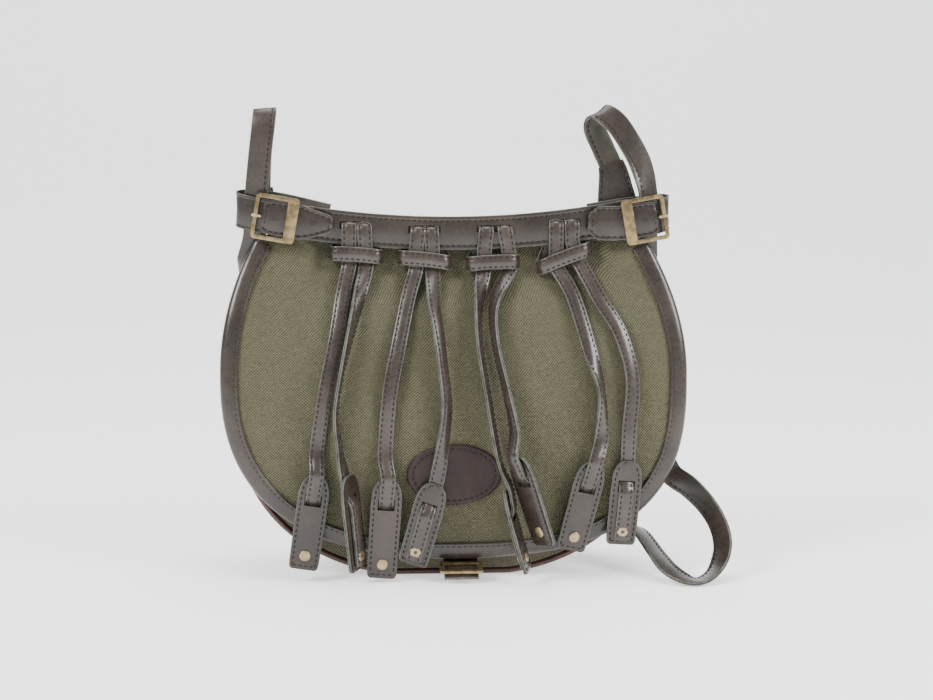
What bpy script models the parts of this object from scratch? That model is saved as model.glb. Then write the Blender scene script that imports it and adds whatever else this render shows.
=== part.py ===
"""A hunting game bag that stands on its gusset: a canvas pocket with a bound cover flap, a leather
band with four hitched hangers, buckled strap loops and one long shoulder strap.
Lengths in the tables are in millimetres; the meshes are in metres. +X is to the right as seen from
the front, -Y is the front, +Z is up, and the origin is near the middle of the bottom patch."""

import math

import bmesh
import bpy
from mathutils import Vector

MM = 0.001
GAP = 0.3

# Driving sizes
CANVAS = 1.5
LEATHER = 2.4
BODY_HALF_WIDTH = 170.0
BODY_SHIFT = -3.0
BODY_CENTRE_Z = 152.0
BODY_DROP = 155.0
BODY_RISE = 186.0
FLAP_HALF_WIDTH = 181.7
FLAP_SHIFT = 1.3
FLAP_CENTRE_Z = 162.0
FLAP_DROP = 145.2
FLAP_RISE = 196.0
# How square an edge is: (lower left, lower right), (upper left, upper right)
BODY_POWERS = ((2.4, 2.4), (2.0, 2.0))
FLAP_POWERS = ((2.45, 2.75), (2.0, 1.9))
MOUTH_Z = 210.0
GUSSET_TOP_Z = 250.0
BACK_TOP_Z = 268.0
PIPING_RADIUS = 2.5
BINDING_WIDTH = 13.0
BINDING_WALL = 1.5
BINDING_TOP_Z = 267.0
BAND_HEIGHT = 26.2
BAND_HALF_LENGTH = 141.0
BAND_LOW_Z = 257.5
BAND_END_LIFT = 13.1
BAND_FRONT_Y = -24.3
THONG_WIDTH = 11.6
THONG_WALL = 2.2
THONG_GAP = 0.5
STRAP_WIDTH = 18.0
STRAP_WALL = 2.6
RING_STRAP_WIDTH = 27.0
RING_STRAP_WALL = 2.2
TAB_WIDTH = 24.0
TAB_WALL = 2.4
TAB_SLIT_DROP = 20.0
TAB_SLIT_HEIGHT = 9.0
RIVET_RADIUS = 4.3
RIVET_RISE = 11.5
PATCH_HALF = (37.0, 24.0)
PATCH_PLACE = (0.0, 86.0)
PATCH_WALL = 1.8
PATCH_GAP = 0.9
BUCKLE_BAR = 2.9
BUCKLE_WIDE_BAR = 8.6
BUCKLE_SIZE = (34.0, 35.5)
BUCKLE_X = {"left": 136.0, "right": 150.5}

# Height; the front and back of the pocket's edge; how far its front and back swell at the middle
BODY_ROWS = (
    (0, -29, 34, 0, 0),
    (12, -32, 35, 2, 2),
    (60, -37, 37, 12, 5),
    (130, -37, 36, 17, 7),
    (190, -30, 28, 11, 6),
    (234, -18, 12, 4, 2),
    (250, -15, 3, 3, 0),
    (264, -14, -6, 2, 0),
    (300, -14, -14, 0, 0),
)
# Height; the flap's front face at its edge and at its middle
FLAP_ROWS = (
    (15, -45, -49),
    (60, -46, -57),
    (120, -45, -60),
    (170, -41, -54),
    (205, -35, -43),
    (232, -27, -30),
    (250, -22.5, -23.5),
    (264, -21.6, -21.6),
    (300, -21.6, -21.6),
)
# The flap's soft upright folds: place across, width, how far each stands proud of the flap
FOLDS = (
    (-112, 26, -1.6),
    (-78, 20, 1.8),
    (-50, 22, -2.0),
    (-12, 20, 1.6),
    (18, 22, -1.4),
    (52, 20, 1.8),
    (84, 24, -1.8),
    (118, 20, 1.4),
)
# Each hanger's place on the band
HANGER_X = {"1": -75.0, "2": -21.5, "3": 32.0, "4": 88.0}
# Each leg: height, place across, room in front of the flap, turn from facing the front
LEGS = {
    "1a": ((220, -86, 4, 0), (190, -91, 4, 0), (148, -99.6, 4, 0), (106, -106, 4, 0)),
    "1b": ((214, -75, 8, 50), (170, -86, 9, 78), (135, -91.5, 9, 80), (108, -89, 9, 75)),
    "2a": ((220, -35, 4, 0), (184, -43, 4.5, 0), (150, -49.6, 4.5, 0), (105, -53.5, 4, 0)),
    "2b": ((218, -15, 7.5, 40), (198, -12, 8, 46), (177, -9.5, 8, 52), (140, -6, 7, 50), (106, -10, 6, 30)),
    "3a": ((218, 20, 8, 60), (190, 19.5, 9, 72), (152, 25, 9, 72), (100, 34, 9, 74)),
    "3b": ((218, 32, 8, -60), (190, 32, 9, -70), (152, 40, 10, -66), (122, 45.5, 14, -58)),
    "4a": ((222, 94.0, 4, 0), (181, 106, 4, 10), (150, 114, 7, 62), (114, 114.5, 5, 15)),
    "4b": ((220, 114.5, 4.5, 0), (195, 129.5, 4, 10), (160, 139, 4, 20), (118, 136.5, 4, 0)),
}
# Each tab: top across and height, bottom across and height, turn, room in front of the flap at
# the top and at the bottom, and which face shows: 1 its front, -1 its back
TABS = {
    "1a": (-106.5, 86, -118, 11, 0, 8, 9, 1),
    "1b": (-82, 88, -75, 12, 58, 15, 15, -1),
    "2a": (-51.5, 83, -57, 4, 0, 8, 10, 1),
    "2b": (-15, 80, -33, 16, -8, 10, 14, -1),
    "3a": (39, 76, 57, 11, 74, 15, 18, 1),
    "3b": (47, 103, 69.5, 33, -48, 21, 25, 1),
    "4a": (108.5, 94, 91, 24, 6, 8, 10, 1),
    "4b": (136, 95, 130.5, 28, 4, 8, 9, -1),
}
# One side of a hitch: place across (out from its middle), depth behind the band's front face,
# height over the band's lower edge, and the thong's width across and down
HITCH_ROWS = (
    (6.7, -2.4, -17, 1, 0),
    (6.5, -2.0, -9, 1, 0),
    (6.4, -1.9, 1, 1, 0),
    (6.3, -2.1, 9.4, 1, 0),
    (6.2, -1.0, 15.2, 1, 0),
    (6.2, 3.0, 16.7, 1, 0),
    (7.0, 4.7, 11, 0.97, 0.25),
    (10.2, 4.3, 3, 0.88, 0.45),
    (14.8, 4.2, -5.5, 0.4, 0.9),
    (18.0, 3.4, -8, 0, 1),
    (19.4, 0.4, -8.3, 0, 1),
    (16.2, -4.8, -7.8, 0, 1),
    (8.8, -5.8, -7.2, 0, 1),
)
# How much higher each hanger's cross piece sits on the band
HITCH_LIFT = {"1": 1.2, "2": -1.5, "3": -2.8, "4": 0.8}
LEG_SPREAD = {"4b": 5.5}
HITCH_MIDDLE = (0.0, -6.1, -7, 0, 1)
HITCH_ROOM = 8.0
SLIT_HALF_WIDTH = 13.2
SLIT_LOW = 12.4
SLIT_HIGH = 19.8

# Each ring strap's middle line, from its tip in front round the corner to its end behind the band:
# out from the middle of the bag, depth, height
RING_ROWS = {
    "right": (
        (106.5, -27.2, 279.2),
        (119, -28.0, 278.5),
        (133, -28.2, 278.6),
        (150.5, -28.2, 281.2),
        (163, -26.4, 283.8),
        (169.6, -21.6, 285.8),
        (169.3, -14.6, 287.0),
        (162, -11.4, 287.0),
        (149, -12.0, 285.5),
        (131, -15.2, 283.5),
        (108, -18.0, 280.0),
    ),
    "left": (
        (93, -27.2, 278.3),
        (112, -27.8, 279.2),
        (124, -28.2, 281),
        (145, -27.8, 284.5),
        (160, -25.2, 287.5),
        (166.5, -20.5, 289.5),
        (165.5, -14.0, 291),
        (158, -11.4, 291.6),
        (145, -12.2, 290.6),
        (127, -15.4, 287.6),
        (97, -18.0, 280.5),
    ),
}
# The shoulder strap's middle line and the way its width points, from the right lug's end
STRAP_ROWS = (
    (130.5, -6.3, 300, 0.95, 0.0, 0.3),
    (127.5, -6.0, 319, 0.95, 0.0, 0.25),
    (120.2, -3.0, 336.5, 0.93, 0.1, 0.3),
    (113.2, -3.5, 353, 0.9, 0.25, 0.35),
    (115.5, -12.5, 363.5, 0.85, 0.3, 0.45),
    (127.5, -18.0, 357.5, 0.8, 0.1, 0.6),
    (138.5, -21.5, 342, 0.86, 0.1, 0.5),
    (148.5, -21.0, 323, 0.93, 0.25, 0.28),
    (154.4, -20.2, 300, 0.8, 0.55, 0.1),
    (154.0, -17.4, 282, 0.97, 0.2, 0),
    (153.8, -14.6, 267, 1, 0, 0),
    (154.5, -11.5, 252, 1, 0.05, 0),
    (156.5, -8.0, 240, 0.6, 0.8, 0),
    (158.0, -6.0, 226, 0.1, 1, 0),
    (162.0, -3.0, 208, 0.02, 1, 0),
    (169.5, -1.0, 160, 0, 1, 0),
    (170.0, -3.0, 120, 0.1, 1, 0.05),
    (171.0, -9.0, 97, 0.35, 0.75, 0.5),
    (175.4, -14.0, 77.4, 0.62, 0.2, 0.78),
    (189.6, -20.0, 66.6, 0.55, -0.2, 0.79),
    (201.7, -28.0, 54.6, 0.50, -0.44, 0.73),
    (209.9, -38.0, 41.3, 0.54, -0.54, 0.64),
    (212.6, -49.0, 27.9, 0.64, -0.58, 0.50),
    (209.6, -59.0, 17.4, 0.65, -0.68, 0.33),
    (202.8, -68.0, 8.4, 0.50, -0.83, 0.24),
    (192.1, -74.0, 2.8, 0.27, -0.96, 0.07),
    (180.4, -74.5, 4.0, -0.33, -0.93, -0.10),
    (168.8, -64.0, 9.4, -0.87, -0.49, 0.03),
    (160.8, -42.0, 18.0, -0.88, -0.42, 0.23),
    (150.4, -12.0, 31.0, -0.81, -0.47, 0.36),
    (143.5, 14.0, 30, -0.45, -0.25, 0.85),
    (132, 38.0, 25, 0, 0, 1),
    (112, 51.0, 21, 0, 0, 1),
    (88, 56.0, 17, 0, 0, 1),
    (52, 58.0, 12, 0, 0, 1),
    (0, 58.5, 9.6, 0, 0, 1),
    (-52, 58.0, 12.5, 0, 0, 1),
    (-100, 56.0, 28, 0.1, 0, 1),
    (-132, 55.0, 48, 0.2, 0.1, 1),
    (-156, 53.0, 70, 0.15, 0.3, 0.93),
    (-170.5, 41.0, 88, 0, 0.65, 0.75),
    (-175.0, 24.0, 106, 0, 0.86, 0.5),
    (-175.8, 7.0, 130, 0, 0.98, 0.2),
    (-175.3, 0.0, 160, 0, 1, 0),
    (-168.0, -3.0, 208, 0, 1, 0),
    (-164.5, -6.0, 226, -0.1, 1, 0),
    (-162.0, -8.0, 240, -0.6, 0.8, 0),
    (-158.5, -11.5, 252, -1, 0.05, 0),
    (-154.4, -14.6, 267, -1, 0, 0),
    (-153.3, -17.4, 281, -1, 0, 0),
    (-152.3, -20.2, 298, -1, 0, 0),
    (-149, -21.6, 330, -1, 0, -0.06),
    (-146, -20.5, 354, -1, 0, -0.08),
    (-144.8, -13.0, 366.5, -1, 0, -0.08),
    (-146.5, -3.5, 358, -1, 0, -0.05),
    (-149.5, -3.4, 330, -1, 0, 0),
    (-150.5, -8.2, 300, -1, 0, 0),
    (-150.5, -8.3, 284, -1, 0, 0),
)
LUG_BOTTOM_WIDTH = 32.0
LUG_TOP_WIDTH = 20.0
LUG_HEIGHT = 34.0
LUG_TAIL = 8.0
LUG_WALL = 2.2

# The closure strap's middle line under the hem
CLOSURE_ROWS = (
    (5.5, -53.2, 62),
    (5.5, -48.4, 40),
    (5.5, -45.2, 30),
    (5.5, -43.2, 22),
    (5.5, -42.8, 16.4),
    (5.5, -46.6, 12.4),
    (5.5, -53.0, 10.4),
    (5.5, -60.0, 8.3),
    (5.5, -66.0, 4.8),
)
CLOSURE_WIDTH = 27.0


def clear_scene():
    for item in list(bpy.data.objects):
        bpy.data.objects.remove(item, do_unlink=True)


def make_collection(name):
    collection = bpy.data.collections.new(name)
    bpy.context.scene.collection.children.link(collection)
    return collection


clear_scene()
BAG = make_collection("hunting_game_bag")
CUTTERS = make_collection("cutters")


def make_material(name, colour, roughness, metallic=0.0):
    material = bpy.data.materials.new(name)
    material.use_nodes = True
    shader = material.node_tree.nodes["Principled BSDF"]
    shader.inputs["Base Color"].default_value = (*colour, 1.0)
    shader.inputs["Roughness"].default_value = roughness
    shader.inputs["Metallic"].default_value = metallic
    return material


CANVAS_OLIVE = make_material("olive_canvas", (0.155, 0.145, 0.085), 0.9)
LEATHER_BROWN = make_material("brown_leather", (0.09, 0.065, 0.06), 0.45)
PIPING_RED = make_material("red_brown_piping", (0.06, 0.026, 0.02), 0.5)
BRASS_AGED = make_material("aged_brass", (0.38, 0.24, 0.11), 0.4, 0.9)


def mix(low, high, share):
    return low + (high - low) * share


def smooth_step(low, high, value):
    share = min(1.0, max(0.0, (value - low) / (high - low)))
    return share * share * (3 - 2 * share)


def look_up(rows, height):
    """The columns of a table at a height, eased between its rows with the rows' own slopes."""
    last = len(rows) - 1
    index = 0
    while index < last - 1 and height > rows[index + 1][0]:
        index += 1
    low, high = rows[index], rows[index + 1]
    span = high[0] - low[0]
    share = min(1.0, max(0.0, (height - low[0]) / span))
    before, after = rows[max(0, index - 1)], rows[min(last, index + 2)]
    values = []
    for column in range(1, len(low)):
        rise_low = (high[column] - before[column]) / (high[0] - before[0]) * span
        rise_high = (after[column] - low[column]) / (after[0] - low[0]) * span
        square, cube = share * share, share**3
        values.append(
            (2 * cube - 3 * square + 1) * low[column]
            + (cube - 2 * square + share) * rise_low
            + (3 * square - 2 * cube) * high[column]
            + (cube - square) * rise_high
        )
    return values


def smooth_path(rows, steps, close=0.0):
    """A smooth curve through all columns of the rows, with steps samples between two rows, or
    one between rows that are nearer than close."""
    path = []
    last = len(rows) - 1
    for index in range(last):
        first, second = Vector(rows[index]), Vector(rows[index + 1])
        count = 1 if (Vector(first[:3]) - Vector(second[:3])).length < close else steps
        before = Vector(rows[index - 1]) if index else first * 2 - second
        after = Vector(rows[index + 2]) if index + 2 <= last else second * 2 - first
        for step in range(count):
            t = step / count
            path.append(
                0.5
                * (
                    first * 2
                    + (second - before) * t
                    + (before * 2 - first * 5 + second * 4 - after) * t**2
                    + (first * 3 - before - second * 3 + after) * t**3
                )
            )
    path.append(Vector(rows[last]))
    return path


def half_moon_point(angle, half_width, centre_z, drop, rise, powers):
    """A point of a half moon's edge: round above its widest line, squarer below it."""
    sine, cosine = math.sin(angle), math.cos(angle)
    power = powers[sine >= 0][cosine >= 0]
    across = half_width * math.copysign(abs(cosine) ** (2 / power), cosine)
    up = math.copysign(abs(sine) ** (2 / power), sine)
    return across, centre_z + up * (rise if sine >= 0 else drop)


def half_moon_edge(size, top_z, inset, count, shift=0.0, floor=None):
    """The edge from its top left end round the bottom to its top right end, moved inwards."""
    _, centre_z, _, rise, _ = size
    start = math.pi - math.asin((top_z - centre_z) / rise)
    end = 2 * math.pi + math.asin((top_z - centre_z) / rise)
    points = []
    for index in range(count + 1):
        angle = mix(start, end, index / count)
        x, z = half_moon_point(angle, *size)
        x_on, z_on = half_moon_point(angle + 0.004, *size)
        x_back, z_back = half_moon_point(angle - 0.004, *size)
        along = Vector((x_on - x_back, z_on - z_back)).normalized()
        x, z = x - along.y * inset, z + along.x * inset
        if floor is not None:
            z = max(z, floor)
        points.append((x + shift, z))
    return points


BODY_SIZE = (BODY_HALF_WIDTH, BODY_CENTRE_Z, BODY_DROP, BODY_RISE, BODY_POWERS)
FLAP_SIZE = (FLAP_HALF_WIDTH, FLAP_CENTRE_Z, FLAP_DROP, FLAP_RISE, FLAP_POWERS)


def band_low(x):
    """The height of the band's lower edge."""
    return BAND_LOW_Z + BAND_END_LIFT * min(1.0, abs(x) / BAND_HALF_LENGTH) ** 2


def band_front(x):
    return BAND_FRONT_Y + 5.0 * (x / 150.0) ** 2


def flap_side(z, side):
    """How far across the flap's left (-1) or right (1) edge is at a height."""
    half_width, centre_z, drop, rise, powers = FLAP_SIZE
    ratio = (z - centre_z) / (rise if z >= centre_z else drop)
    power = powers[ratio >= 0][side > 0]
    return FLAP_SHIFT + side * half_width * max(0.0, 1 - min(1.0, abs(ratio)) ** power) ** (1 / power)


def fold_height(x, z):
    fade = smooth_step(36, 90, z) * (1 - smooth_step(215, 262, z))
    total = 0.0
    for place, width, height in FOLDS:
        total += height * math.exp(-(((x - place) / width) ** 2))
    return total * fade


def hitch_room(x, z):
    room = 0.0
    for place in HANGER_X.values():
        room = max(room, 1 - smooth_step(26, 38, abs(x - place)))
    return HITCH_ROOM * room * smooth_step(-44, -24, z - band_low(x))


def flap_front(x, z):
    """The flap's front face, from its swell, its folds and the room behind the band."""
    edge, middle = look_up(FLAP_ROWS, z)
    side = 1 if x > FLAP_SHIFT else -1
    half_width = max(20.0, abs(flap_side(min(z, 255.0), side) - FLAP_SHIFT))
    inside = max(0.0, 1 - ((x - FLAP_SHIFT) / half_width) ** 2)
    low = edge + (middle - edge) * inside - fold_height(x, z) * inside
    past_end = smooth_step(BAND_HALF_LENGTH - 1, BAND_HALF_LENGTH + 15, abs(x))
    high = band_front(min(abs(x), BAND_HALF_LENGTH)) + LEATHER + GAP - 4.0 * past_end
    share = smooth_step(band_low(x) - 16, band_low(x) - 2, z)
    return mix(low, high, share) + hitch_room(x, z)


def new_object(name, mesh, material, collection=None):
    item = bpy.data.objects.new(name, mesh)
    (collection or BAG).objects.link(item)
    if material:
        mesh.materials.append(material)
    return item


def grid_object(name, rows, wall, material, offset=-1.0, smooth=True):
    """A wall on an open grid of points in millimetres, thickened by Solidify."""
    mesh = bpy.data.meshes.new(name)
    shape = bmesh.new()
    lines = [[shape.verts.new(Vector(point) * MM) for point in row] for row in rows]
    for upper, lower in zip(lines, lines[1:]):
        for index in range(len(upper) - 1):
            shape.faces.new((upper[index], lower[index], lower[index + 1], upper[index + 1]))
    shape.to_mesh(mesh)
    shape.free()
    item = new_object(name, mesh, material)
    if smooth:
        mesh.shade_smooth()
    solid = item.modifiers.new("wall", "SOLIDIFY")
    solid.thickness = wall * MM
    solid.offset = offset
    return item


def ribbon_object(name, rows, width, wall, material, steps=2, close=0.0):
    """A flat strap along rows of x, y, z and the three parts of the way its width points."""
    path = smooth_path(rows, steps, close)
    lines = []
    for index, sample in enumerate(path):
        point = Vector(sample[:3])
        ahead = Vector(path[min(index + 1, len(path) - 1)][:3])
        behind = Vector(path[max(index - 1, 0)][:3])
        along = (ahead - behind).normalized()
        across = Vector(sample[3:6])
        across = (across - along * across.dot(along)).normalized() * width / 2
        lines.append((point - across, point + across))
    return grid_object(name, lines, wall, material, offset=0.0, smooth=False)


def cut(item, cutter):
    cutter.hide_render = True
    cutter.display_type = "WIRE"
    boolean = item.modifiers.new("cut", "BOOLEAN")
    boolean.operation = "DIFFERENCE"
    boolean.object = cutter
    return item


def box_cutter(name, centre, size, axes=None):
    """A cutter box with its middle and size in millimetres, on its own three axes."""
    mesh = bpy.data.meshes.new(name)
    shape = bmesh.new()
    bmesh.ops.create_cube(shape, size=1.0)
    axes = axes or (Vector((1, 0, 0)), Vector((0, 1, 0)), Vector((0, 0, 1)))
    for vert in shape.verts:
        place = Vector(centre)
        for part, length, axis in zip(vert.co, size, axes):
            place = place + axis * (part * length)
        vert.co = place * MM
    shape.normal_update()
    bmesh.ops.recalc_face_normals(shape, faces=shape.faces)
    shape.to_mesh(mesh)
    shape.free()
    return new_object(name, mesh, None, CUTTERS)


def body_depths(z):
    return look_up(BODY_ROWS, z)


def half_moon_rows(edge, columns, top_line=None):
    """Rows across a half moon: each joins the edge's left point to its right point, and the last
    rows bend down to the arc of the bottom."""
    count = len(edge) - 1
    row_count = count // 2
    spare = 5
    rows = []
    first_bottom = row_count - spare
    low_left, low_right = edge[first_bottom], edge[count - first_bottom]
    bottom = edge[first_bottom : count - first_bottom + 1]

    def bottom_z(x):
        for (x_a, z_a), (x_b, z_b) in zip(bottom, bottom[1:]):
            if x_a <= x <= x_b:
                return mix(z_a, z_b, (x - x_a) / max(1e-6, x_b - x_a))
        return bottom[0][1]

    for index in range(first_bottom + 1):
        left, right = edge[index], edge[count - index]
        share = smooth_step(first_bottom * 0.35, first_bottom, index)
        line = []
        for column in range(columns + 1):
            across = column / columns
            x = mix(left[0], right[0], across)
            z = mix(left[1], right[1], across)
            sag = bottom_z(mix(low_left[0], low_right[0], across)) - low_left[1]
            z += sag * share
            if top_line is not None:
                rise = 1 - smooth_step(0, first_bottom * 0.3, index)
                z += (top_line(x) - top_line(left[0])) * rise
            line.append((x, z))
        rows.append(line)
    return rows


def make_front_panel():
    edge = half_moon_edge(BODY_SIZE, MOUTH_Z, 2 * PIPING_RADIUS + GAP, 36, BODY_SHIFT, 5.4)
    rows = []
    for line in half_moon_rows(edge, 12):
        left, right = line[0][0], line[-1][0]
        points = []
        for x, z in line:
            front, _, swell, _ = body_depths(z)
            inside = 1 - (2 * (x - left) / (right - left) - 1) ** 2
            points.append((x, front - swell * inside - CANVAS / 2, z))
        rows.append(points)
    return grid_object("front_panel", rows, CANVAS, CANVAS_OLIVE, offset=-1.0)


def make_back_panel():
    edge = half_moon_edge(BODY_SIZE, BACK_TOP_Z, 2 * PIPING_RADIUS + GAP, 40, BODY_SHIFT, 5.4)
    rows = []
    for line in half_moon_rows(edge, 12):
        left, right = line[0][0], line[-1][0]
        points = []
        for x, z in reversed(line):
            _, back, _, swell = body_depths(z)
            inside = 1 - (2 * (x - left) / (right - left) - 1) ** 2
            free = back + swell * inside + CANVAS / 2
            sewn = band_front(x) + LEATHER + HITCH_ROOM + 2 * CANVAS + 3 * GAP
            points.append((x, mix(free, sewn, smooth_step(248, 262, z)), z))
        rows.append(points)
    return grid_object("back_panel", rows, CANVAS, CANVAS_OLIVE, offset=-1.0)


def make_gusset():
    rows = []
    edge = half_moon_edge(BODY_SIZE, GUSSET_TOP_Z, 0.0, 48, BODY_SHIFT, 0.0)
    flat = [index for index, point in enumerate(edge) if point[1] <= 0.0]
    kept = [point for index, point in enumerate(edge) if index not in flat[1:-1]]
    room = PIPING_RADIUS + GAP
    for x, z in kept:
        front, back, _, _ = body_depths(z)
        rows.append(((x, front + room, z), (x, max(front + room + 6, back - room), z)))
    return grid_object("gusset", rows, CANVAS + 0.5, CANVAS_OLIVE, offset=1.0)


def make_piping(name, side, top_z):
    """A cord of round section along the edge of the front (0) or back (1) panel."""
    curve = bpy.data.curves.new(name, "CURVE")
    curve.dimensions = "3D"
    curve.bevel_depth = PIPING_RADIUS * MM
    curve.bevel_resolution = 1
    curve.use_fill_caps = True
    edge = half_moon_edge(BODY_SIZE, top_z, PIPING_RADIUS, 34, BODY_SHIFT, PIPING_RADIUS + 0.1)
    spline = curve.splines.new("POLY")
    spline.points.add(len(edge) - 1)
    for point, (x, z) in zip(spline.points, edge):
        point.co = (x * MM, body_depths(z)[side] * MM, z * MM, 1.0)
    item = bpy.data.objects.new(name, curve)
    BAG.objects.link(item)
    curve.materials.append(PIPING_RED)
    return item


def make_flap():
    """The cover, from under the band down to its hem; it is sewn in beside the hangers' room."""
    inset = 2 * BINDING_WALL
    columns = 25
    rows = []
    for over, end_over in ((12, 0.5), (4, -0.8), (-2, -2), (-7, -7), (-13, -13), (-20, -20)):
        left, right = 2 - BAND_HALF_LENGTH, BAND_HALF_LENGTH - 2
        if over <= -2:
            level = band_low(right) + over
            left, right = flap_side(level, -1) + inset, flap_side(level, 1) - inset
        line = []
        for column in range(columns + 1):
            x = mix(left, right, column / columns)
            z = band_low(x) + mix(over, end_over, smooth_step(52, 96, abs(x)))
            line.append((x, flap_front(x, z), z))
        rows.append(line)
    edge = half_moon_edge(FLAP_SIZE, 238.0, inset, 44, FLAP_SHIFT)
    for line in half_moon_rows(edge, columns, band_low):
        rows.append([(x, flap_front(x, z), z) for x, z in line])
    return grid_object("flap", rows, CANVAS, CANVAS_OLIVE, offset=-1.0)


def make_flap_binding():
    """Leather folded over the flap's edge: inset and depth of its section, front to back."""
    section = ((BINDING_WIDTH, -1.9), (1.4, -1.6), (0.0, 0.8), (1.4, 3.4), (BINDING_WIDTH - 3, 3.6))
    lines = []
    for inset, depth in section:
        edge = half_moon_edge(FLAP_SIZE, BINDING_TOP_Z, inset, 44, FLAP_SHIFT)
        lines.append([(x, flap_front(x, z) + depth, z) for x, z in edge])
    return grid_object("flap_binding", lines, BINDING_WALL, LEATHER_BROWN, offset=0.0)


def make_top_band():
    rows = [[], [], []]
    columns = 26
    for index in range(columns + 1):
        x = mix(-BAND_HALF_LENGTH, BAND_HALF_LENGTH, index / columns)
        low = band_low(x)
        y = band_front(x)
        rows[0].append((x, y, low + BAND_HEIGHT))
        rows[1].append((x, y, low + BAND_HEIGHT * 0.5))
        rows[2].append((x, y, low))
    band = grid_object("top_band", rows, LEATHER, LEATHER_BROWN, offset=-1.0)
    for key, x in HANGER_X.items():
        low = band_low(x)
        centre = (x, band_front(x) + LEATHER / 2, low + (SLIT_LOW + SLIT_HIGH) / 2)
        size = (2 * SLIT_HALF_WIDTH, 4 * LEATHER, SLIT_HIGH - SLIT_LOW)
        cut(band, box_cutter("band_slit_" + key, centre, size))
    return band


def make_patch():
    """An oval that lies on the flap: rings of points round its middle."""
    sectors = 20
    centre_x, centre_z = PATCH_PLACE
    rows = []
    for share in (0.02, 0.5, 1.0):
        row = []
        for index in range(sectors + 1):
            angle = -2 * math.pi * index / sectors
            x = centre_x + PATCH_HALF[0] * share * math.cos(angle)
            z = centre_z + PATCH_HALF[1] * share * math.sin(angle)
            row.append((x, flap_front(x, z) - PATCH_GAP, z))
        rows.append(row)
    patch = grid_object("oval_patch", rows, PATCH_WALL, LEATHER_BROWN, offset=-1.0)
    weld = patch.modifiers.new("close", "WELD")
    weld.merge_threshold = 0.0001
    patch.modifiers.move(1, 0)
    return patch


def tab_frame(key):
    """A tab's top middle point, its way down, its way across and its way out of its front."""
    top_x, top_z, low_x, low_z, turn, room_top, room_low, _ = TABS[key]
    top = Vector((top_x, flap_front(top_x, top_z) - room_top, top_z))
    low_y = flap_front(low_x, max(low_z, 24.0)) - room_low
    low = Vector((low_x, low_y, low_z))
    down = (low - top).normalized()
    angle = math.radians(turn)
    across = Vector((math.cos(angle), math.sin(angle), 0.0))
    across = (across - down * across.dot(down)).normalized()
    out = down.cross(across)
    if out.y > 0 and abs(turn) < 90:
        out = -out
    return top, down, across, out, (low - top).length


def make_tab(key):
    """A leather tab: parallel sides, a round shoulder at the top, cut corners at the bottom."""
    top, down, across, out, length = tab_frame(key)
    half = TAB_WIDTH / 2
    mesh = bpy.data.meshes.new("tab_" + key)
    shape = bmesh.new()
    rows = (
        (0.0, 0.34),
        (2.5, 0.6),
        (7.0, 0.82),
        (14.0, 0.97),
        (24.0, 1.0),
        (length - 6.0, 0.97),
        (length - 2.0, 0.9),
        (length, 0.72),
    )
    lines = []
    for along, share in rows:
        middle = top + down * along
        lines.append([shape.verts.new((middle + across * half * share * side) * MM) for side in (-1, 1)])
    for upper, lower in zip(lines, lines[1:]):
        shape.faces.new((upper[0], lower[0], lower[1], upper[1]))
    shape.normal_update()
    bmesh.ops.recalc_face_normals(shape, faces=shape.faces)
    shape.to_mesh(mesh)
    shape.free()
    tab = new_object("tab_" + key, mesh, LEATHER_BROWN)
    solid = tab.modifiers.new("wall", "SOLIDIFY")
    solid.thickness = TAB_WALL * MM
    solid.offset = 0.0
    axes = (across, out, down)
    slit = (THONG_WIDTH + 1.6, 5 * TAB_WALL, TAB_SLIT_HEIGHT)
    cut(tab, box_cutter("tab_slit_" + key, top + down * TAB_SLIT_DROP, slit, axes))
    hole = (4.8, 5 * TAB_WALL, 4.8)
    cut(tab, box_cutter("rivet_hole_" + key, top + down * (length - RIVET_RISE), hole, axes))
    return tab


def make_rivet(key):
    """A domed cap on the tab's outer face with a short shank in the tab's hole."""
    top, down, across, out, length = tab_frame(key)
    face = out
    centre = top + down * (length - RIVET_RISE)
    on_thong = TABS[key][7] < 0
    seat = TAB_WALL / 2 + GAP
    shank_end = -TAB_WALL / 2 + 0.2
    if on_thong:
        seat += THONG_WALL + THONG_GAP
        shank_end = seat - 0.05
    profile = (
        (0.0, seat + 1.7),
        (RIVET_RADIUS * 0.7, seat + 1.4),
        (RIVET_RADIUS, seat + 0.5),
        (RIVET_RADIUS, seat),
        (1.8, seat),
        (1.8, shank_end),
        (0.0, shank_end),
    )
    mesh = bpy.data.meshes.new("rivet_" + key)
    shape = bmesh.new()
    sectors = 8
    ring_rows = []
    for radius, depth in profile:
        if radius == 0.0:
            ring_rows.append([shape.verts.new((centre + face * depth) * MM)])
            continue
        ring = []
        for index in range(sectors):
            angle = 2 * math.pi * index / sectors
            side = across * math.cos(angle) * radius + down * math.sin(angle) * radius
            ring.append(shape.verts.new((centre + side + face * depth) * MM))
        ring_rows.append(ring)
    for upper, lower in zip(ring_rows, ring_rows[1:]):
        for index in range(sectors):
            on = (index + 1) % sectors
            if len(upper) == 1:
                shape.faces.new((upper[0], lower[index], lower[on]))
            elif len(lower) == 1:
                shape.faces.new((upper[index], lower[0], upper[on]))
            else:
                shape.faces.new((upper[index], lower[index], lower[on], upper[on]))
    shape.normal_update()
    bmesh.ops.recalc_face_normals(shape, faces=shape.faces)
    shape.to_mesh(mesh)
    shape.free()
    mesh.shade_smooth()
    return new_object("rivet_" + key, mesh, BRASS_AGED)


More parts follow.
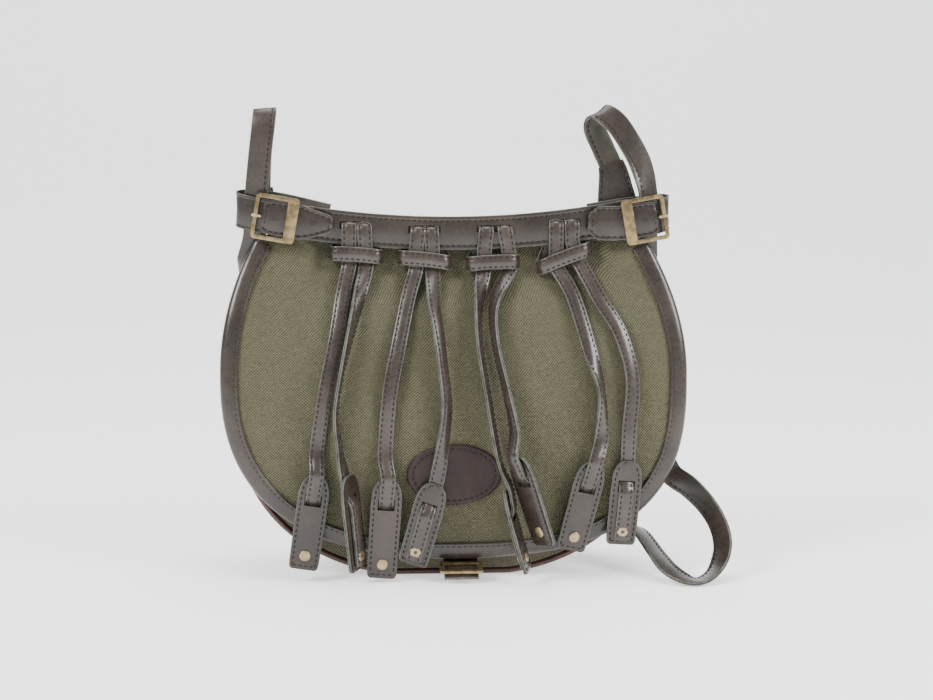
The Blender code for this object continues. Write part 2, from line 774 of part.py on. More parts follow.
def leg_rows(key, side):
    """A leg from under its hitch down to its tab's slit and along the tab's hidden face."""
    rows = []
    for z, x, room, turn in LEGS[key]:
        angle = math.radians(turn)
        y = flap_front(x, z) - room - THONG_WALL / 2
        rows.append((x, y, z, -side * math.cos(angle), -side * math.sin(angle), 0.0))
    top, down, across, out, length = tab_frame(key)
    shown = TABS[key][7]
    layer = TAB_WALL / 2 + THONG_WALL / 2 + THONG_GAP
    slit = top + down * TAB_SLIT_DROP
    half_slit = TAB_SLIT_HEIGHT / 2
    sign = -side
    for along, depth in (
        (-TAB_SLIT_DROP - 3.0, shown * (layer + 1.2)),
        (-half_slit - 8.0, shown * (layer + 0.6)),
        (-half_slit + 1.0, shown * (layer - 0.6)),
        (half_slit - 1.0, -shown * (layer - 0.6)),
        (half_slit + 8.0, -shown * (layer + 0.2)),
        (length - TAB_SLIT_DROP - 4.0, -shown * layer),
    ):
        point = slit + down * along + out * depth
        rows.append((*point, *(across * sign)))
    return rows


def hitch_rows(key, side):
    """One side of a hitch, from the leg up over the band, behind it and round to the front."""
    rows = []
    x = HANGER_X[key[0]]
    for index, (out, depth, height, wide, deep) in enumerate(HITCH_ROWS):
        spread = LEG_SPREAD.get(key, 0.0) * max(0.0, 1 - index / 2)
        place = x + side * (out + spread)
        level = band_low(place) + height + HITCH_LIFT[key[0]] * smooth_step(6, 9, index)
        rows.append((place, band_front(place) + depth, level, -side * wide, 0.0, -deep))
    return rows


def make_hanger(number):
    x = HANGER_X[number]
    left = leg_rows(number + "a", -1)[::-1] + hitch_rows(number + "a", -1)
    right = hitch_rows(number + "b", 1)[::-1] + leg_rows(number + "b", 1)
    out, depth, height, wide, deep = HITCH_MIDDLE
    level = band_low(x) + height + HITCH_LIFT[number]
    middle = (x + out, band_front(x) + depth, level, 0.0, 0.0, -deep)
    rows = left + [middle] + right
    return ribbon_object("hanger_" + number, rows, THONG_WIDTH, THONG_WALL, LEATHER_BROWN, 2, 13.0)


def make_ring_strap(name, side):
    """The loop round a top corner; its width points up."""
    points = [Vector(row) for row in RING_ROWS[name]]
    rows = []
    for index, (x, y, z) in enumerate(points):
        ahead, behind = points[min(index + 1, len(points) - 1)], points[max(index - 1, 0)]
        slope = (ahead - behind).normalized()
        up = Vector((0, 0, 1))
        up = (up - slope * up.dot(slope)).normalized()
        rows.append((side * x, y, z, side * up.x, up.y, up.z))
    return ribbon_object(name + "_ring_strap", rows, RING_STRAP_WIDTH, RING_STRAP_WALL, LEATHER_BROWN)


def frame_object(name, outer, inner, wall, centre, axes):
    """A flat frame with cut corners, on its own axes: outer and inner are left, right, low, high."""
    mesh = bpy.data.meshes.new(name)
    shape = bmesh.new()
    across, up, out = axes

    def ring(left, right, low, high, corner, depth):
        corners = (
            (left + corner, low), (right - corner, low), (right, low + corner), (right, high - corner),
            (right - corner, high), (left + corner, high), (left, high - corner), (left, low + corner),
        )
        middle = Vector(centre) + out * depth
        return [shape.verts.new((middle + across * a + up * b) * MM) for a, b in corners]

    rings = [
        ring(*outer, 2.5, wall / 2 - 0.6),
        ring(*inner, 1.2, wall / 2),
        ring(*inner, 1.2, -wall / 2),
        ring(*outer, 2.5, -wall / 2),
    ]
    for first, second in zip(rings, rings[1:] + rings[:1]):
        for index in range(8):
            on = (index + 1) % 8
            shape.faces.new((first[index], second[index], second[on], first[on]))
    shape.normal_update()
    bmesh.ops.recalc_face_normals(shape, faces=shape.faces)
    shape.to_mesh(mesh)
    shape.free()
    return new_object(name, mesh, BRASS_AGED)


def buckle_axes(name, side):
    """The buckle's middle and axes from its ring strap's own line."""
    path = smooth_path([Vector(row) for row in RING_ROWS[name][:6]], 8)
    index = min(range(len(path)), key=lambda spot: abs(path[spot].x - BUCKLE_X[name]))
    along = (path[index + 6] - path[index - 6]).normalized()
    along.x *= side
    up = Vector((0, 0, 1))
    up = (up - along * up.dot(along)).normalized()
    out = along.cross(up)
    if out.y > 0:
        out = -out
    middle = Vector((side * path[index].x, path[index].y, path[index].z))
    return middle, along, up, out


def make_buckle(name, side):
    """A frame with a thin outer bar and a broad inner bar, in front of the ring strap."""
    middle, along, up, out = buckle_axes(name, side)
    half_wide, half_high = BUCKLE_SIZE[0] / 2, BUCKLE_SIZE[1] / 2
    outer = (-half_wide, half_wide, -half_high, half_high)
    inner = (-half_wide + BUCKLE_WIDE_BAR, half_wide - BUCKLE_BAR, -half_high + 3.2, half_high - 3.2)
    centre = middle + out * (RING_STRAP_WALL / 2 + 1.3 + 0.7)
    return frame_object(name + "_buckle", outer, inner, 2.6, centre, (along, up, out))


def make_prong(name, side):
    """A short pin from the thin outer bar over the strap."""
    middle, along, up, out = buckle_axes(name, side)
    reach_out = BUCKLE_SIZE[0] / 2 - BUCKLE_BAR - GAP
    base = middle + along * reach_out + out * (RING_STRAP_WALL / 2 + 1.5)
    mesh = bpy.data.meshes.new(name + "_buckle_prong")
    shape = bmesh.new()
    rows = []
    for reach, radius, lift in ((0.0, 1.2, 0.3), (3.4, 1.15, 0.5), (6.5, 1.0, 0.2)):
        ring = []
        for index in range(6):
            angle = 2 * math.pi * index / 6
            side_part = up * math.cos(angle) * radius + out * math.sin(angle) * radius
            ring.append(shape.verts.new((base - along * reach + out * lift + side_part) * MM))
        rows.append(ring)
    for first, second in zip(rows, rows[1:]):
        for index in range(6):
            on = (index + 1) % 6
            shape.faces.new((first[index], second[index], second[on], first[on]))
    shape.faces.new(rows[0])
    shape.faces.new(rows[-1])
    shape.normal_update()
    bmesh.ops.recalc_face_normals(shape, faces=shape.faces)
    shape.to_mesh(mesh)
    shape.free()
    return new_object(name + "_buckle_prong", mesh, BRASS_AGED)


def make_shoulder_strap():
    return ribbon_object("shoulder_strap", STRAP_ROWS, STRAP_WIDTH, STRAP_WALL, LEATHER_BROWN, 2)


def make_lug(name, rows, face):
    """A tapered leather piece sewn on the strap's end, in front of it (-1) or behind it (1)."""
    path = smooth_path([Vector(row) for row in rows], 4)
    low = Vector(path[0])
    lines = []
    start = low + (low - Vector(path[1])).normalized() * LUG_TAIL
    reach = 0.0
    for index, sample in enumerate([start] + path):
        point = Vector(sample[:3])
        if index:
            reach += (point - last).length
        last = point
        if reach > LUG_HEIGHT:
            break
        along = (Vector(path[min(index, len(path) - 1)][:3]) - Vector(path[max(index - 1, 0)][:3]))
        along = (along if index else Vector(path[1][:3]) - Vector(path[0][:3])).normalized()
        across = Vector(path[max(index - 1, 0)][3:6])
        across = (across - along * across.dot(along)).normalized()
        out = along.cross(across)
        if out.y * face < 0:
            out = -out
        half = mix(LUG_BOTTOM_WIDTH, LUG_TOP_WIDTH, reach / LUG_HEIGHT) / 2
        middle = point + out * (STRAP_WALL / 2 + LUG_WALL / 2 + GAP)
        lines.append((middle - across * half, middle + across * half))
    return grid_object(name, lines, LUG_WALL, LEATHER_BROWN, offset=0.0, smooth=False)


def make_closure():
    rows = [(*row, 1.0, 0.0, 0.0) for row in CLOSURE_ROWS]
    strap = ribbon_object("closure_strap", rows, CLOSURE_WIDTH, LEATHER, LEATHER_BROWN)
    low, high = Vector(CLOSURE_ROWS[7]), Vector(CLOSURE_ROWS[6])
    along = (low - high).normalized()
    across = Vector((1, 0, 0))
    out = along.cross(across)
    if out.z < 0:
        out = -out
    centre = high.lerp(low, 0.6) + out * (LEATHER / 2 + 1.1 + GAP)
    half = CLOSURE_WIDTH / 2 + 3.3
    frame_object(
        "closure_buckle", (-half, half, -8.0, 8.0), (-half + 3.0, half - 3.0, -5.0, 5.0), 2.2,
        centre, (across, along, out),
    )
    return strap


def build():
    make_back_panel()
    make_gusset()
    make_front_panel()
    make_piping("front_piping", 0, GUSSET_TOP_Z - 14)
    make_piping("back_piping", 1, GUSSET_TOP_Z - 4)
    make_flap()
    make_flap_binding()
    make_top_band()
    make_patch()
    for name, side in (("left", -1), ("right", 1)):
        make_ring_strap(name, side)
        make_buckle(name, side)
        make_prong(name, side)
    make_shoulder_strap()
    make_lug("right_strap_lug", STRAP_ROWS[:4], -1)
    make_lug("left_strap_lug", STRAP_ROWS[:-5:-1], 1)
    make_closure()
    for number in HANGER_X:
        make_hanger(number)
    for key in TABS:
        make_tab(key)
        make_rivet(key)


build()
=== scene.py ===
"""The looks of a hunting game bag: canvas, stitched leather, hitched hangers and aged brass.
Lengths in the tables are in millimetres. +X is to the right as seen from the front, -Y is the
front, +Z is up, and the origin is the middle of the flat patch that the bag stands on."""

import math

import bmesh
import bpy
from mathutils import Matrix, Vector, noise


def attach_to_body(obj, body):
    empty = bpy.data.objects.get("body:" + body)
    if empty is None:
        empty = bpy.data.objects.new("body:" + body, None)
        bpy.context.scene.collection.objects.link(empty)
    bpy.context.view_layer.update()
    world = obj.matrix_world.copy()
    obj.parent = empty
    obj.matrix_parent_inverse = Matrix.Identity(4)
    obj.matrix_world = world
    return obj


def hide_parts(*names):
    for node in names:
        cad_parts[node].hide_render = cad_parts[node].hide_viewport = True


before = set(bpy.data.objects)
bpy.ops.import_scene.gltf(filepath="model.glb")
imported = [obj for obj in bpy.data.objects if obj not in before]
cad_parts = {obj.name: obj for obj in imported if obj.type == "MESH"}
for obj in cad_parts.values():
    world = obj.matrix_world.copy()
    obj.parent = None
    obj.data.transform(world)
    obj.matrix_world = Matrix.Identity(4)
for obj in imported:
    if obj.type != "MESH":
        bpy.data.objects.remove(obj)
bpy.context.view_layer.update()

MM = 0.001
GAP = 0.3

CANVAS = 1.5
LEATHER = 2.4
# Half width, height of the widest line, drop below and rise above it, and how square the edge is:
# (lower left, lower right), (upper left, upper right)
BODY_SIZE = (170.0, 152.0, 155.0, 186.0, ((2.4, 2.4), (2.0, 2.0)))
BODY_SHIFT = -3.0
FLAP_SIZE = (181.7, 162.0, 145.2, 196.0, ((2.45, 2.75), (2.0, 1.9)))
FLAP_SHIFT = 1.3
MOUTH_Z = 210.0
GUSSET_TOP_Z = 250.0
BACK_TOP_Z = 268.0
PIPING_RADIUS = 2.5
BINDING_WIDTH = 13.0
BINDING_WALL = 1.5
BINDING_TOP_Z = 267.0
BAND_HEIGHT = 26.2
BAND_HALF_LENGTH = 141.0
BAND_LOW_Z = 257.5
BAND_END_LIFT = 13.1
BAND_FRONT_Y = -24.3
THONG_WIDTH = 11.6
THONG_WALL = 2.2
THONG_GAP = 0.5
THONG_CROWN = 0.85
STRAP_WIDTH = 18.0
STRAP_WALL = 2.6
RING_STRAP_WIDTH = 27.0
RING_STRAP_WALL = 2.2
TAB_WIDTH = 24.0
TAB_WALL = 2.4
TAB_SLIT_DROP = 20.0
TAB_SLIT_HEIGHT = 9.0
HOLE_RADIUS = 1.5
RIVET_RADIUS = 4.3
RIVET_RISE = 11.5
RING_RADIUS = RIVET_RADIUS * 0.98
PATCH_HALF = (37.0, 24.0)
PATCH_PLACE = (0.0, 86.0)
PATCH_WALL = 1.8
PATCH_GAP = 0.9
BUCKLE_BAR = 2.9
BUCKLE_WIDE_BAR = 8.6
BUCKLE_SIZE = (34.0, 35.5)
PRONG_RADIUS = 1.2
BUCKLE_X = {"left": 136.0, "right": 150.5}
HITCH_ROOM = 8.0
SLIT_HALF_WIDTH = 13.2
SLIT_LOW = 12.4
SLIT_HIGH = 19.8
RIGHTWARDS = Vector((1, 0, 0))
BACKWARDS = Vector((0, 1, 0))
UPWARDS = Vector((0, 0, 1))
STITCH_PITCH = 4.4
STITCH_LENGTH = 3.0
STITCH_RADIUS = 0.6
WEAVE_PITCH = 0.0022
FLAP_COLUMNS = 150
FLAP_ROWS_BEHIND_BAND = 22
FLAP_RISE_BEHIND_BAND = 22
PANEL_COLUMNS = 60
THONG_STITCH = 2.7
# How far the seams lie from the edge: the band's lower and upper one, the thongs', the long
# strap's, the ring straps' ends', and those of the tabs, lugs and other pieces
BAND_SEAMS = (3.4, 3.6)
THONG_SEAM = 2.1
LONG_SEAM = 3.2
END_SEAM = 2.8
SEAM = 2.6

CAMERA_LENS = 79.7
CAMERA_AIM = (10.0, -50.0, 182.0)
CAMERA_DISTANCE = 1.6
CAMERA_AZIMUTH = -3.0
CAMERA_ELEVATION = 7.5
SKY_STRENGTH = 0.72
# Each large soft light: name, place in metres, size and power
LIGHTS = (
    ("key", (-1.7, -1.35, 1.8), 0.8, 74.0),
    ("fill", (1.85, -1.25, 1.3), 0.9, 56.0),
    ("top", (0.1, 0.2, 2.2), 1.4, 34.0),
)
LIGHTS_AIM = (0.0, -0.03, 0.17)
# The floor's section from front to back, and where it is divided across
FLOOR_ROWS = (
    (-2600, 0), (-600, 0), (400, 0), (1500, 0),
    (2200, 90), (2700, 420), (2950, 1000), (3000, 2600),
)
FLOOR_COLUMNS = (-4200, -2000, 0, 2000, 4200)

# Height; the front and back of the pocket's edge; how far its front and back swell at the middle
BODY_ROWS = (
    (0, -29, 34, 0, 0),
    (12, -32, 35, 2, 2),
    (60, -37, 37, 12, 5),
    (130, -37, 36, 17, 7),
    (190, -30, 28, 11, 6),
    (234, -18, 12, 4, 2),
    (250, -15, 3, 3, 0),
    (264, -14, -6, 2, 0),
    (300, -14, -14, 0, 0),
)
# Height; the flap's front face at its edge and at its middle
FLAP_ROWS = (
    (15, -45, -49),
    (60, -46, -57),
    (120, -45, -60),
    (170, -41, -54),
    (205, -35, -43),
    (232, -27, -30),
    (250, -22.5, -23.5),
    (264, -21.6, -21.6),
    (300, -21.6, -21.6),
)
# The flap's soft upright folds: place across, width, how far each stands proud of the flap
FOLDS = (
    (-112, 26, -1.6),
    (-78, 20, 1.8),
    (-50, 22, -2.0),
    (-12, 20, 1.6),
    (18, 22, -1.4),
    (52, 20, 1.8),
    (84, 24, -1.8),
    (118, 20, 1.4),
)
HANGER_X = {"1": -75.0, "2": -21.5, "3": 32.0, "4": 88.0}
# Each leg: height, place across, room in front of the flap, turn from facing the front
LEGS = {
    "1a": ((220, -86, 4, 0), (190, -91, 4, 0), (148, -99.6, 4, 0), (106, -106, 4, 0)),
    "1b": ((214, -75, 8, 50), (170, -86, 9, 78), (135, -91.5, 9, 80), (108, -89, 9, 75)),
    "2a": ((220, -35, 4, 0), (184, -43, 4.5, 0), (150, -49.6, 4.5, 0), (105, -53.5, 4, 0)),
    "2b": (
        (218, -15, 7.5, 40), (198, -12, 8, 46), (177, -9.5, 8, 52), (140, -6, 7, 50),
        (106, -10, 6, 30),
    ),
    "3a": ((218, 20, 8, 60), (190, 19.5, 9, 72), (152, 25, 9, 72), (100, 34, 9, 74)),
    "3b": ((218, 32, 8, -60), (190, 32, 9, -70), (152, 40, 10, -66), (122, 45.5, 14, -58)),
    "4a": ((222, 94.0, 4, 0), (181, 106, 4, 10), (150, 114, 7, 62), (114, 114.5, 5, 15)),
    "4b": ((220, 114.5, 4.5, 0), (195, 129.5, 4, 10), (160, 139, 4, 20), (118, 136.5, 4, 0)),
}
# Each tab: top across and height, bottom across and height, turn, room in front of the flap at
# the top and at the bottom, and which face shows: 1 its front, -1 its back
TABS = {
    "1a": (-106.5, 86, -118, 11, 0, 8, 9, 1),
    "1b": (-82, 88, -75, 12, 58, 15, 15, -1),
    "2a": (-51.5, 83, -57, 4, 0, 8, 10, 1),
    "2b": (-15, 80, -33, 16, -8, 10, 14, -1),
    "3a": (39, 76, 57, 11, 74, 15, 18, 1),
    "3b": (47, 103, 69.5, 33, -48, 21, 25, 1),
    "4a": (108.5, 94, 91, 24, 6, 8, 10, 1),
    "4b": (136, 95, 130.5, 28, 4, 8, 9, -1),
}
# A tab's outline: the way down from its top, and its half width's share
TAB_SHOULDER = (
    (0.0, 0.3), (0.35, 0.42), (1.2, 0.55), (2.6, 0.67), (4.6, 0.78), (7.2, 0.87),
    (10.5, 0.94), (14.5, 0.985), (20.0, 1.0), (26.0, 1.0), (34.0, 1.0),
)
TAB_FOOT = ((12.0, 0.98), (6.0, 0.97), (2.4, 0.94), (1.1, 0.89), (0.35, 0.82), (0.0, 0.74))
# One side of a hitch: place across (out from its middle), depth behind the band's front face,
# height over the band's lower edge, and the thong's width across and down
HITCH_ROWS = (
    (6.7, -2.4, -17, 1, 0),
    (6.5, -2.0, -9, 1, 0),
    (6.4, -1.9, 1, 1, 0),
    (6.3, -2.1, 9.4, 1, 0),
    (6.2, -1.0, 15.2, 1, 0),
    (6.2, 3.0, 16.7, 1, 0),
    (7.0, 4.7, 11, 0.97, 0.25),
    (10.2, 4.3, 3, 0.88, 0.45),
    (14.8, 4.2, -5.5, 0.4, 0.9),
    (18.0, 3.4, -8, 0, 1),
    (19.4, 0.4, -8.3, 0, 1),
    (16.2, -4.8, -7.8, 0, 1),
    (8.8, -5.8, -7.2, 0, 1),
)
# How much higher each hanger's cross piece sits on the band
HITCH_LIFT = {"1": 1.2, "2": -1.5, "3": -2.8, "4": 0.8}
LEG_SPREAD = {"4b": 5.5}
# How far each leg lies outwards at the band's lower edge and at its slit; how the cross pieces tilt
HITCH_SHIFT = {
    "1a": (-1.0, -1.0),
    "1b": (1.0, 0.5),
    "2a": (0.5, -1.2),
    "2b": (-0.4, -0.8),
    "3a": (0.6, -1.0),
    "3b": (6.2, 3.2),
}
HITCH_TILT = {"1": 0.03, "2": -0.08, "3": 0.0, "4": 0.26}
HITCH_REACH = 19.0
HITCH_MIDDLE = (0.0, -6.1, -7, 0, 1)

# Each ring strap's middle line, from its tip in front round the corner to its end behind the band:
# out from the middle of the bag, depth, height
RING_ROWS = {
    "right": (
        (106.5, -27.2, 279.2),
        (119, -28.0, 278.5),
        (133, -28.2, 278.6),
        (150.5, -28.2, 281.2),
        (163, -26.4, 283.8),
        (169.6, -21.6, 285.8),
        (169.3, -14.6, 287.0),
        (162, -11.4, 287.0),
        (149, -12.0, 285.5),
        (131, -15.2, 283.5),
        (108, -18.0, 280.0),
    ),
    "left": (
        (93, -27.2, 278.3),
        (112, -27.8, 279.2),
        (124, -28.2, 281),
        (145, -27.8, 284.5),
        (160, -25.2, 287.5),
        (166.5, -20.5, 289.5),
        (165.5, -14.0, 291),
        (158, -11.4, 291.6),
        (145, -12.2, 290.6),
        (127, -15.4, 287.6),
        (97, -18.0, 280.5),
    ),
}
# How long the pointed end is, and how wide half its blunt tip is
RING_TIPS = {"right": (8.0, 8.6), "left": (25.0, 6.6)}
# The shoulder strap's middle line and the way its width points, from the right lug's end
STRAP_ROWS = (
    (130.5, -6.3, 300, 0.95, 0.0, 0.3),
    (127.5, -6.0, 319, 0.95, 0.0, 0.25),
    (120.2, -3.0, 336.5, 0.93, 0.1, 0.3),
    (113.2, -3.5, 353, 0.9, 0.25, 0.35),
    (115.5, -12.5, 363.5, 0.85, 0.3, 0.45),
    (127.5, -18.0, 357.5, 0.8, 0.1, 0.6),
    (138.5, -21.5, 342, 0.86, 0.1, 0.5),
    (148.5, -21.0, 323, 0.93, 0.25, 0.28),
    (154.4, -20.2, 300, 0.8, 0.55, 0.1),
    (154.0, -17.4, 282, 0.97, 0.2, 0),
    (153.8, -14.6, 267, 1, 0, 0),
    (154.5, -11.5, 252, 1, 0.05, 0),
    (156.5, -8.0, 240, 0.6, 0.8, 0),
    (158.0, -6.0, 226, 0.1, 1, 0),
    (162.0, -3.0, 208, 0.02, 1, 0),
    (169.5, -1.0, 160, 0, 1, 0),
    (170.0, -3.0, 120, 0.1, 1, 0.05),
    (171.0, -9.0, 97, 0.35, 0.75, 0.5),
    (175.4, -14.0, 77.4, 0.62, 0.2, 0.78),
    (189.6, -20.0, 66.6, 0.55, -0.2, 0.79),
    (201.7, -28.0, 54.6, 0.50, -0.44, 0.73),
    (209.9, -38.0, 41.3, 0.54, -0.54, 0.64),
    (212.6, -49.0, 27.9, 0.64, -0.58, 0.50),
    (209.6, -59.0, 17.4, 0.65, -0.68, 0.33),
    (202.8, -68.0, 8.4, 0.50, -0.83, 0.24),
    (192.1, -74.0, 2.8, 0.27, -0.96, 0.07),
    (180.4, -74.5, 4.0, -0.33, -0.93, -0.10),
    (168.8, -64.0, 9.4, -0.87, -0.49, 0.03),
    (160.8, -42.0, 18.0, -0.88, -0.42, 0.23),
    (150.4, -12.0, 31.0, -0.81, -0.47, 0.36),
    (143.5, 14.0, 30, -0.45, -0.25, 0.85),
    (132, 38.0, 25, 0, 0, 1),
    (112, 51.0, 21, 0, 0, 1),
    (88, 56.0, 17, 0, 0, 1),
    (52, 58.0, 12, 0, 0, 1),
    (0, 58.5, 9.6, 0, 0, 1),
    (-52, 58.0, 12.5, 0, 0, 1),
    (-100, 56.0, 28, 0.1, 0, 1),
    (-132, 55.0, 48, 0.2, 0.1, 1),
    (-156, 53.0, 70, 0.15, 0.3, 0.93),
    (-170.5, 41.0, 88, 0, 0.65, 0.75),
    (-175.0, 24.0, 106, 0, 0.86, 0.5),
    (-175.8, 7.0, 130, 0, 0.98, 0.2),
    (-175.3, 0.0, 160, 0, 1, 0),
    (-168.0, -3.0, 208, 0, 1, 0),
    (-164.5, -6.0, 226, -0.1, 1, 0),
    (-162.0, -8.0, 240, -0.6, 0.8, 0),
    (-158.5, -11.5, 252, -1, 0.05, 0),
    (-154.4, -14.6, 267, -1, 0, 0),
    (-153.3, -17.4, 281, -1, 0, 0),
    (-152.3, -20.2, 298, -1, 0, 0),
    (-149, -21.6, 330, -1, 0, -0.06),
    (-146, -20.5, 354, -1, 0, -0.08),
    (-144.8, -13.0, 366.5, -1, 0, -0.08),
    (-146.5, -3.5, 358, -1, 0, -0.05),
    (-149.5, -3.4, 330, -1, 0, 0),
    (-150.5, -8.2, 300, -1, 0, 0),
    (-150.5, -8.3, 284, -1, 0, 0),
)
LUG_BOTTOM_WIDTH = 32.0
LUG_TOP_WIDTH = 20.0
LUG_HEIGHT = 34.0
LUG_TAIL = 8.0
LUG_WALL = 2.2

# The closing strap's middle line: across, depth, height
CLOSURE_ROWS = (
    (5.5, -53.2, 62),
    (5.5, -48.4, 40),
    (5.5, -45.2, 30),
    (5.5, -43.2, 22),
    (5.5, -42.8, 16.4),
    (5.5, -46.6, 12.4),
    (5.5, -53.0, 10.4),
    (5.5, -60.0, 8.3),
    (5.5, -66.0, 4.8),
)
CLOSURE_WIDTH = 27.0


class Wire:
    """A shader number, so that sums on it are written as sums."""

    def __init__(self, paint, socket):
        self.paint = paint
        self.socket = socket

    def maths(self, operation, *values):
        return self.paint.node("ShaderNodeMath", {"operation": operation}, dict(enumerate(values)))

    def __add__(self, other):
        return self.maths("ADD", self, other)

    __radd__ = __add__

    def __sub__(self, other):
        return self.maths("SUBTRACT", self, other)

    def __rsub__(self, other):
        return self.maths("SUBTRACT", other, self)

    def __mul__(self, other):
        return self.maths("MULTIPLY", self, other)

    __rmul__ = __mul__

    def __truediv__(self, other):
        return self.maths("DIVIDE", self, other)

    def sine(self):
        return self.maths("SINE", self)

    def step(self, low, high):
        """0 below low, 1 above high, eased between them."""
        settings = {"interpolation_type": "SMOOTHSTEP", "clamp": True}
        return self.paint.node("ShaderNodeMapRange", settings, {"Value": self, 1: low, 2: high})


class Paint:
    """One material and its nodes."""

    def __init__(self, name, **constants):
        self.material = bpy.data.materials.new(name)
        self.material.use_nodes = True
        self.tree = self.material.node_tree
        self.shader = self.tree.nodes["Principled BSDF"]
        for socket, value in constants.items():
            self.shader.inputs[socket.replace("_", " ")].default_value = value

    def node(self, kind, settings=None, sockets=None, out=0):
        made = self.tree.nodes.new(kind)
        for key, value in (settings or {}).items():
            if key == "stops":
                ramp = made.color_ramp
                while len(ramp.elements) < len(value):
                    ramp.elements.new(0.5)
                for element, (place, colour) in zip(ramp.elements, value):
                    element.position = place
                    element.color = (*colour, 1.0)
            else:
                setattr(made, key, value)
        for key, value in (sockets or {}).items():
            self.join(made.inputs[key], value)
        return Wire(self, made.outputs[out])

    def join(self, socket, value):
        if isinstance(value, Wire):
            self.tree.links.new(value.socket, socket)
        elif socket.type == "RGBA":
            socket.default_value = (*value[:3], 1.0)
        else:
            socket.default_value = value

    def blend(self, factor, low, high):
        """One colour to another."""
        made = self.tree.nodes.new("ShaderNodeMix")
        made.data_type = "RGBA"
        self.join(made.inputs[0], factor)
        self.join(made.inputs[6], low)
        self.join(made.inputs[7], high)
        return Wire(self, made.outputs[2])

    def place(self):
        return self.node("ShaderNodeTexCoord", out="Object")

    def parts(self, vector):
        made = self.node("ShaderNodeSeparateXYZ", {}, {0: vector})
        outputs = made.socket.node.outputs
        return [Wire(self, outputs[index]) for index in range(3)]

    def cloud(self, vector, scale, detail=3.0, rough=0.55):
        sockets = {"Vector": vector, "Scale": scale, "Detail": detail, "Roughness": rough}
        return self.node("ShaderNodeTexNoise", {}, sockets)

    def cells(self, vector, scale):
        sockets = {"Vector": vector, "Scale": scale}
        return self.node("ShaderNodeTexVoronoi", {"feature": "F1"}, sockets)

    def stretch(self, vector, scale):
        return self.node("ShaderNodeMapping", {}, {"Vector": vector, "Scale": scale})

    def finish(self, colour, rough=None, height=None, depth=0.0003, strength=1.0):
        self.join(self.shader.inputs["Base Color"], colour)
        if rough is not None:
            self.join(self.shader.inputs["Roughness"], rough)
        if height is not None:
            sockets = {"Height": height, "Distance": depth, "Strength": strength}
            bump = self.node("ShaderNodeBump", {}, sockets)
            self.join(self.shader.inputs["Normal"], bump)
        return self.material


def canvas_paint(name, dark, mid, light):
    """Plain-woven canvas: crossed threads, slubs, faded crowns and dusty hollows."""
    paint = Paint(name, Sheen_Weight=0.06, Sheen_Roughness=0.6, Specular_IOR_Level=0.25)
    spot = paint.place()
    across, depth, up = paint.parts(spot)
    thread = 2 * math.pi / WEAVE_PITCH
    wobble = (paint.cloud(spot, 60.0, 2.0) - 0.5) * 3.0
    side = across + depth * 0.6
    warp = (side * thread + wobble).sine()
    weft = (up * thread + wobble).sine()
    crossing = warp * weft
    slub = paint.cloud(paint.stretch(spot, (1.0, 1.0, 14.0)), 260.0, 3.0)
    slub_up = paint.cloud(paint.stretch(spot, (14.0, 14.0, 1.0)), 260.0, 3.0)
    broad = paint.cloud(spot, 11.0, 3.0)
    yarn = crossing * 0.5 + 0.46 + (slub - 0.5) * 1.3 + (slub_up - 0.5) * 1.3
    colour = paint.blend(yarn.step(0.0, 1.0), dark, light)
    colour = paint.blend((broad.step(0.3, 0.7)) * 0.25, colour, mid)
    rough = 0.82 + (slub - 0.5) * 0.2
    return paint.finish(colour, rough, crossing * 0.7 + slub + slub_up, 0.0004, 1.0)


def leather_paint(name, dark, light, rough=0.4, grain=0.00012, coat=0.12, shine=0.42):
    """Smooth dark leather: fine pores, soft creases and lighter rubbed spots."""
    paint = Paint(name, Coat_Weight=coat, Coat_Roughness=0.24, Specular_IOR_Level=shine)
    spot = paint.place()
    pores = paint.cells(spot, 1300.0)
    broad = paint.cloud(spot, 28.0, 4.0)
    crease = paint.cloud(spot, 230.0, 4.0, 0.65)
    rubbed = (broad * 0.75 + crease * 0.25).step(0.34, 0.68)
    colour = paint.blend(rubbed, dark, light)
    roughness = rough + (crease - 0.5) * 0.16 + (pores - 0.5) * 0.1
    return paint.finish(colour, roughness, pores * 0.5 + crease, grain, 0.8)


def edge_paint(name, pale, dark):
    """The cut edge of leather: pale, fibrous, with darker smears of edge dye."""
    paint = Paint(name, Specular_IOR_Level=0.3)
    spot = paint.place()
    smear = paint.cloud(spot, 120.0, 4.0, 0.7)
    fibre = paint.cloud(spot, 2200.0, 2.0)
    colour = paint.blend((smear * 0.7 + fibre * 0.3).step(0.38, 0.66), pale, dark)
    return paint.finish(colour, 0.7 + (fibre - 0.5) * 0.2, fibre + smear, 0.0001, 0.7)


def brass_paint(name, dark, light):
    """Antique brass: brown in the hollows, rubbed bright on the crowns, with fine scratches."""
    paint = Paint(name, Metallic=0.85)
    spot = paint.place()
    stain = paint.cloud(spot, 170.0, 5.0, 0.65)
    scratch = paint.cloud(paint.stretch(spot, (1.0, 1.0, 9.0)), 500.0, 3.0)
    colour = paint.blend((stain * 0.7 + scratch * 0.3).step(0.34, 0.62), dark, light)
    rough = 0.36 + (stain - 0.5) * 0.3 + (scratch - 0.5) * 0.15
    return paint.finish(colour, rough, scratch + stain, 0.00006, 0.6)


def thread_paint(name, dark, light):
    paint = Paint(name, Specular_IOR_Level=0.3)
    spot = paint.place()
    across, _, up = paint.parts(spot)
    twist = ((across + up) * (2 * math.pi / 0.0009)).sine() * 0.5 + 0.5
    tone = paint.cloud(spot, 300.0, 2.0)
    colour = paint.blend(twist * 0.5 + tone * 0.5, dark, light)
    return paint.finish(colour, 0.6 + (tone - 0.5) * 0.2, twist, 0.0001, 0.6)


